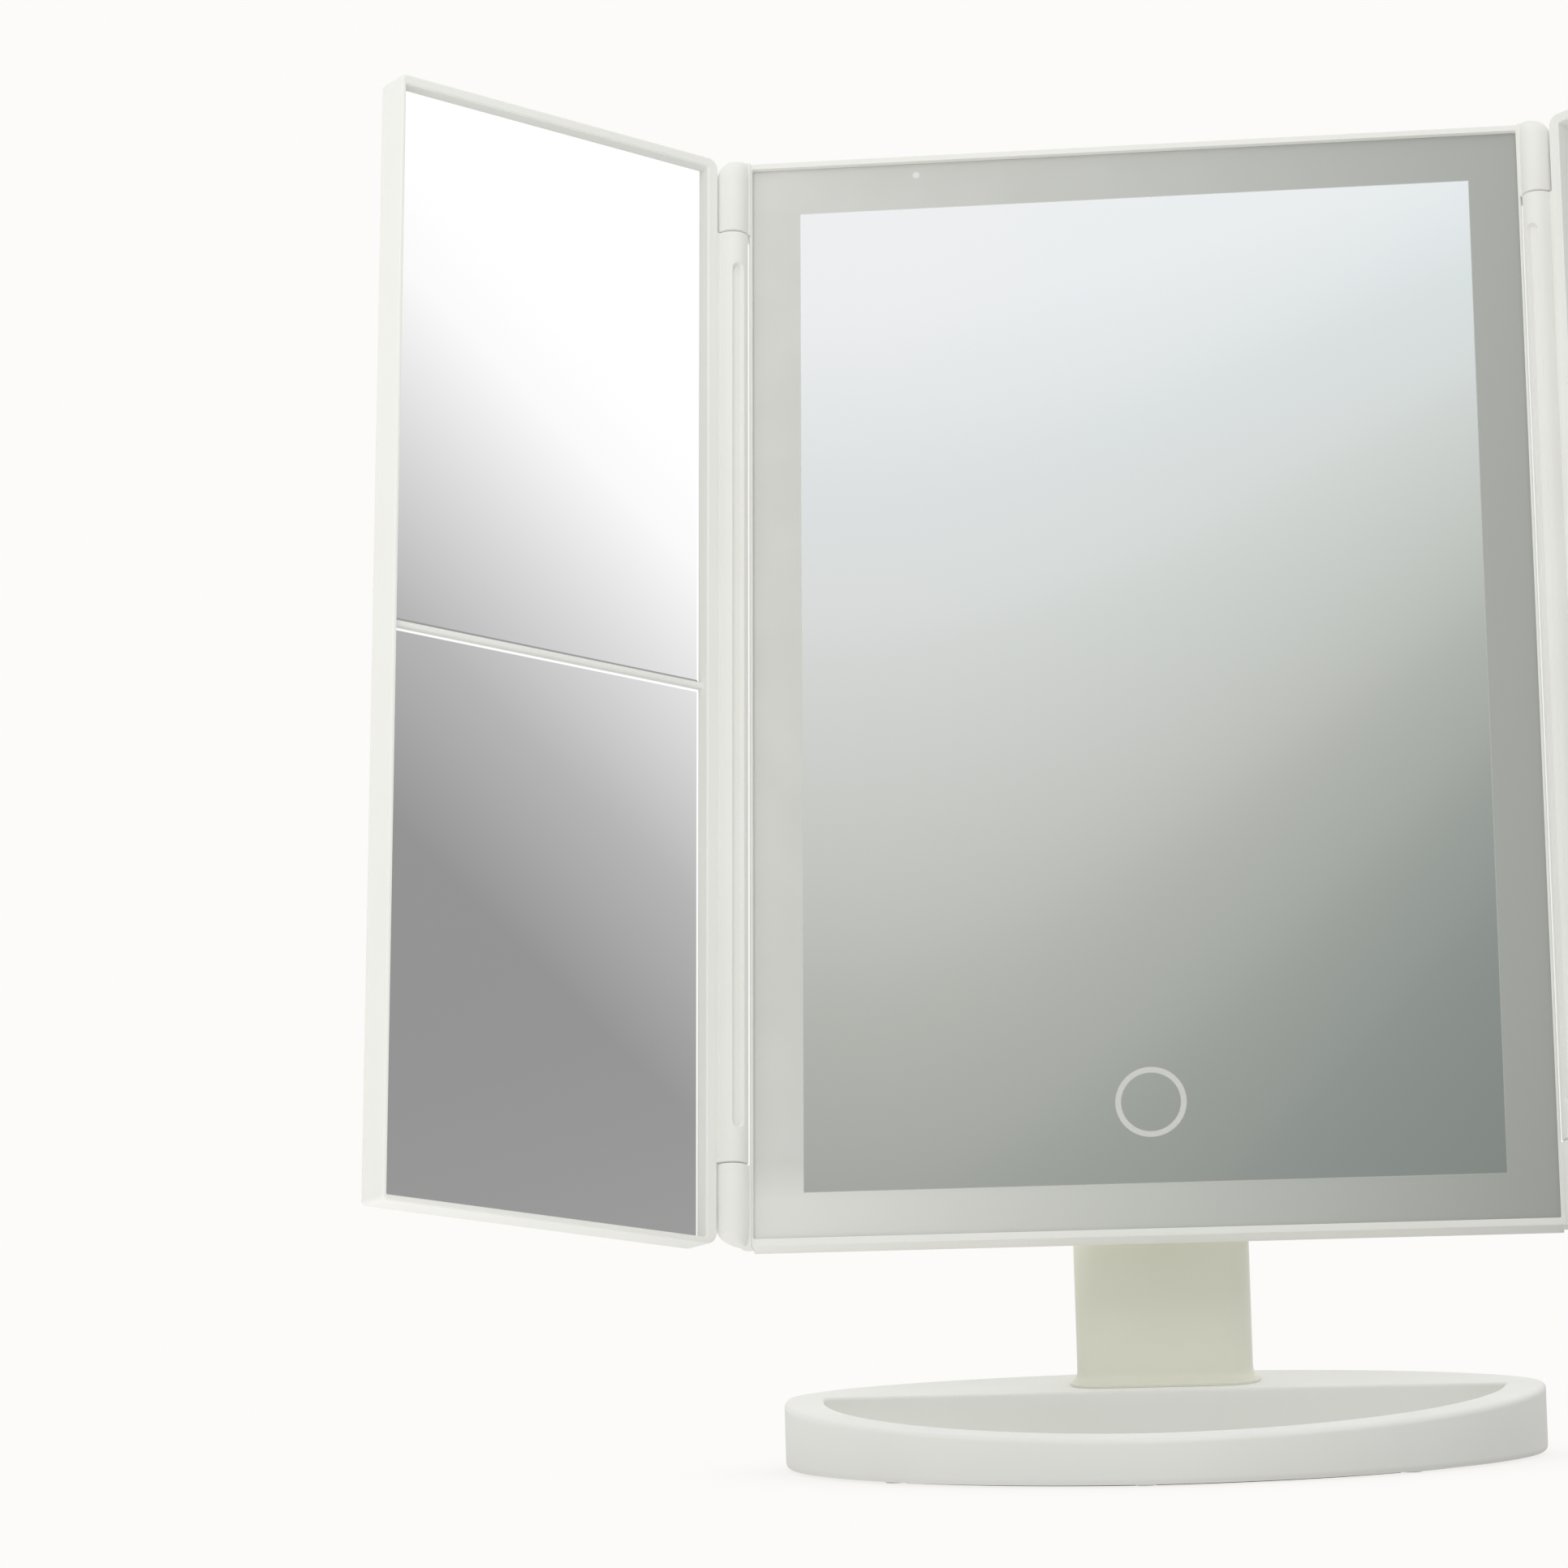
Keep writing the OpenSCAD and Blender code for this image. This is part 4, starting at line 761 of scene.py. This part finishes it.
# %% [markdown]
# ## Room, floor and camera
# White plastic on white needs soft light from nearly everywhere. The dome gives it: it grows
# brighter towards the top, and is a little brighter low down on the right and behind. What the
# mirrors show is set apart, because a mirror pictures one narrow piece of the room: from the
# front it darkens towards the floor like a studio's far wall, on the right stands the slanted
# edge of a large soft panel, and close to the horizon it takes the floor's tone. The camera
# itself sees plain paper.

# %% Room
world = bpy.data.worlds.new("room")
bpy.context.scene.world = world
world.use_nodes = True
tree = world.node_tree
tree.nodes.clear()
PAPER = (0.973, 0.965, 0.947, 1)
way = node(tree, "ShaderNodeSeparateXYZ",
           {0: node(tree, "ShaderNodeTexCoord").outputs["Generated"]})
rx, ry, rz = way.outputs
# Stops are (value, colour), from dark to light: first the far wall's, then the soft panel's.
WALL_LOW, WALL_HIGH = 0.10, 0.70
WALL_STOPS = [
    (0.16, (0.19, 0.205, 0.19)), (0.28, (0.24, 0.255, 0.235)), (0.36, (0.305, 0.32, 0.30)),
    (0.40, (0.40, 0.41, 0.385)), (0.44, (0.54, 0.54, 0.51)), (0.49, (0.715, 0.725, 0.712)),
    (0.52, (0.805, 0.82, 0.83)), (0.545, (0.915, 0.915, 0.935)), (0.66, (0.97, 0.97, 0.975))]
PANEL_LOW, PANEL_HIGH, PANEL_SLANT = -0.05, 0.25, 1.6
PANEL_STOPS = [(at, (grey, grey, grey)) for at, grey in (
    (-0.05, 0.315), (0.025, 0.318), (0.08, 0.50), (0.12, 0.735), (0.14, 0.86), (0.165, 1.02),
    (0.20, 1.09))]
PLAIN, WALL_TINT = (1, 1, 1, 1), (0.94, 1.0, 0.995, 1)
TINT_FROM, TINT_TO, PANEL_FROM, PANEL_TO, REAR_TO = 0.02, 0.24, 0.35, 0.75, 0.35
# A direction counts as lower by BEND (rx + LEFT_EDGE)^2 (BEND_TOP - rz), so that the wall's
# lines of equal tone curve.
LEFT_EDGE, BEND_TOP, BEND = 0.12, 0.61, 33.0
HORIZON_TONE, HORIZON_TOP = (0.70, 0.695, 0.682, 1), 0.28
DOME_LOW, DOME_TOP = 0.02, 1.10
GLOW_RIGHT, GLOW_REAR = 0.53, 0.95


def ramp(tree, value, low, high, stops, soft="LINEAR"):
    """Colour ramp over low..high. stops are (value, (r, g, b))."""
    made = node(tree, "ShaderNodeValToRGB", {0: spread(tree, value, low, high)})
    band = made.color_ramp
    band.interpolation = soft
    while len(band.elements) < len(stops):
        band.elements.new(0.5)
    for element, (at, colour) in zip(band.elements, stops):
        element.position = (at - low) / (high - low)
        element.color = (*colour, 1)
    return made.outputs[0]


from_left = maths(tree, "ADD", rx, LEFT_EDGE)
bend = maths(tree, "MULTIPLY", maths(tree, "MULTIPLY", from_left, from_left),
             maths(tree, "MULTIPLY", maths(tree, "SUBTRACT", BEND_TOP, rz), BEND))
ahead = maths(tree, "SUBTRACT", rz, bend)
far_wall = ramp(tree, ahead, WALL_LOW, WALL_HIGH, WALL_STOPS, "CARDINAL")
wall_tint = mix_colour(tree, spread(tree, from_left, TINT_FROM, TINT_TO), PLAIN, WALL_TINT)
far_wall = node(tree, "ShaderNodeVectorMath", {0: far_wall, 1: wall_tint},
                operation="MULTIPLY").outputs[0]
beside = maths(tree, "ADD", rz, maths(tree, "MULTIPLY", ry, PANEL_SLANT))
panel = ramp(tree, beside, PANEL_LOW, PANEL_HIGH, PANEL_STOPS)
to_right = spread(tree, rx, PANEL_FROM, PANEL_TO, smooth=True)
mirrored = mix_colour(tree, to_right, far_wall, panel)
near_floor = spread(tree, rz, HORIZON_TOP, 0.0, smooth=True)
mirrored = mix_colour(tree, near_floor, mirrored, HORIZON_TONE)
behind = spread(tree, ry, 0.0, REAR_TO, smooth=True)
mirrored = mix_colour(tree, behind, mirrored, PAPER)


def low_glow(axis, amount):
    """Light near the horizon on one side: amount * max(axis, 0) * (1 - max(height, 0))."""
    low = maths(tree, "SUBTRACT", 1.0, maths(tree, "MAXIMUM", rz, 0.0))
    return maths(tree, "MULTIPLY", maths(tree, "MULTIPLY", low, amount),
                 maths(tree, "MAXIMUM", axis, 0.0))


dome = spread(tree, rz, 0.0, 1.0, DOME_LOW, DOME_TOP)
for axis, amount in ((rx, GLOW_RIGHT), (ry, GLOW_REAR)):
    dome = maths(tree, "ADD", dome, low_glow(axis, amount))
path = node(tree, "ShaderNodeLightPath")
seen = mix_colour(tree, path.outputs["Is Glossy Ray"], dome, mirrored)
seen = mix_colour(tree, path.outputs["Is Camera Ray"], seen, PAPER)
glow = node(tree, "ShaderNodeBackground", {"Color": seen, "Strength": 1.0})
end = tree.nodes.new("ShaderNodeOutputWorld")
tree.links.new(glow.outputs[0], end.inputs["Surface"])

# %% [markdown]
# The floor is a wide sheet of paper. The camera sees it in one pale tone with a painted contact
# shadow that darkens it only close round the base. For the light that it throws on the mirror it
# glows more on the left and in front, and the mirrors see it in a calmer tone of its own.

# %% Floor
FLOOR_GLOW, GLOW_LEFT, GLOW_FRONT, FLOOR_MIRRORED = 0.28, 0.73, 0.56, 0.72
SPAN, CONTACT, LEFT_REACH, FRONT_REACH = 30.0, 0.05, 0.15, 0.3
CONTACT_SHADOW_TONE = (0.84, 0.83, 0.81, 1)
corners = [(-SPAN, -SPAN, 0), (SPAN, -SPAN, 0), (SPAN, SPAN, 0), (-SPAN, SPAN, 0)]
floor_mesh = bpy.data.meshes.new("floor")
floor_mesh.from_pydata(corners, [], [(0, 1, 2, 3)])
floor = bpy.data.objects.new("floor", floor_mesh)
bpy.context.scene.collection.objects.link(floor)
paper = bpy.data.materials.new("floor_paper")
paper.use_nodes = True
tree = paper.node_tree
tree.nodes.clear()
# Painted contact shadow: where the base hides the open sky, the paper's tone turns darker.
open_sky = node(tree, "ShaderNodeAmbientOcclusion", {"Distance": CONTACT}, samples=8)
shade = mix_colour(tree, spread(tree, open_sky.outputs["AO"], 0.0, 1.0), CONTACT_SHADOW_TONE, PAPER)
path = node(tree, "ShaderNodeLightPath")
spot_x, spot_y, _ = node(tree, "ShaderNodeSeparateXYZ",
                         {0: node(tree, "ShaderNodeTexCoord").outputs["Object"]}).outputs
left = spread(tree, spot_x, LEFT_REACH, -LEFT_REACH, FLOOR_GLOW, FLOOR_GLOW + GLOW_LEFT)
glow = maths(tree, "ADD", left, spread(tree, spot_y, 0.0, -FRONT_REACH, 0.0, GLOW_FRONT))
glow = spread(tree, path.outputs["Is Glossy Ray"], 0.0, 1.0, glow, FLOOR_MIRRORED)
lit = node(tree, "ShaderNodeEmission", {"Color": shade,
           "Strength": spread(tree, path.outputs["Is Camera Ray"], 0.0, 1.0, glow, 1.0)})
end = tree.nodes.new("ShaderNodeOutputMaterial")
tree.links.new(lit.outputs[0], end.inputs["Surface"])
floor_mesh.materials.append(paper)

# %% [markdown]
# One weak square lamp stands close in front, a little to the left and above, and looks down at
# the mirror. It draws the soft highlights along the moulded edges.

# %% Soft key light
LAMP_SIZE, LAMP_WATTS, LAMP_TONE = 0.4, 1.5, (1.0, 0.99, 0.97)
LAMP_AT, LAMP_DOWN, LAMP_TURN = (-0.2, -0.7, 0.75), math.radians(50.5), math.radians(-15.9)
key = bpy.data.lights.new("key", "AREA")
key.shape = "RECTANGLE"
key.size, key.size_y = LAMP_SIZE, LAMP_SIZE
key.energy = LAMP_WATTS
key.color = LAMP_TONE
lamp = bpy.data.objects.new("key", key)
lamp.location = LAMP_AT
lamp.rotation_euler = (LAMP_DOWN, 0, LAMP_TURN)
lamp.visible_glossy = False
bpy.context.scene.collection.objects.link(lamp)

# %% [markdown]
# The camera stands a little over a metre in front, low, and looks slightly up. It was solved
# from the straight edges of the panels, so it shows the object in the photograph's frame.

# %% Camera
from mathutils import Matrix, Vector

SENSOR, LENS, FAR_CLIP = 36.0, 122.82, 100
eye = Vector((0.06456, -1.13331, 0.08044))
look = Vector((-0.12325, 0.99074, 0.05699)).normalized()
up = Vector((0.03696, -0.0528, 0.99792))
right = look.cross(up).normalized()
up = right.cross(look)
camera_data = bpy.data.cameras.new("camera")
camera_data.sensor_width = SENSOR
camera_data.lens = LENS
camera_data.clip_end = FAR_CLIP
camera = bpy.data.objects.new("camera", camera_data)
camera.matrix_world = Matrix((
    (right.x, up.x, -look.x, eye.x), (right.y, up.y, -look.y, eye.y),
    (right.z, up.z, -look.z, eye.z), (0, 0, 0, 1)))
bpy.context.scene.collection.objects.link(camera)
bpy.context.scene.camera = camera
bpy.context.scene.view_settings.view_transform = "Standard"
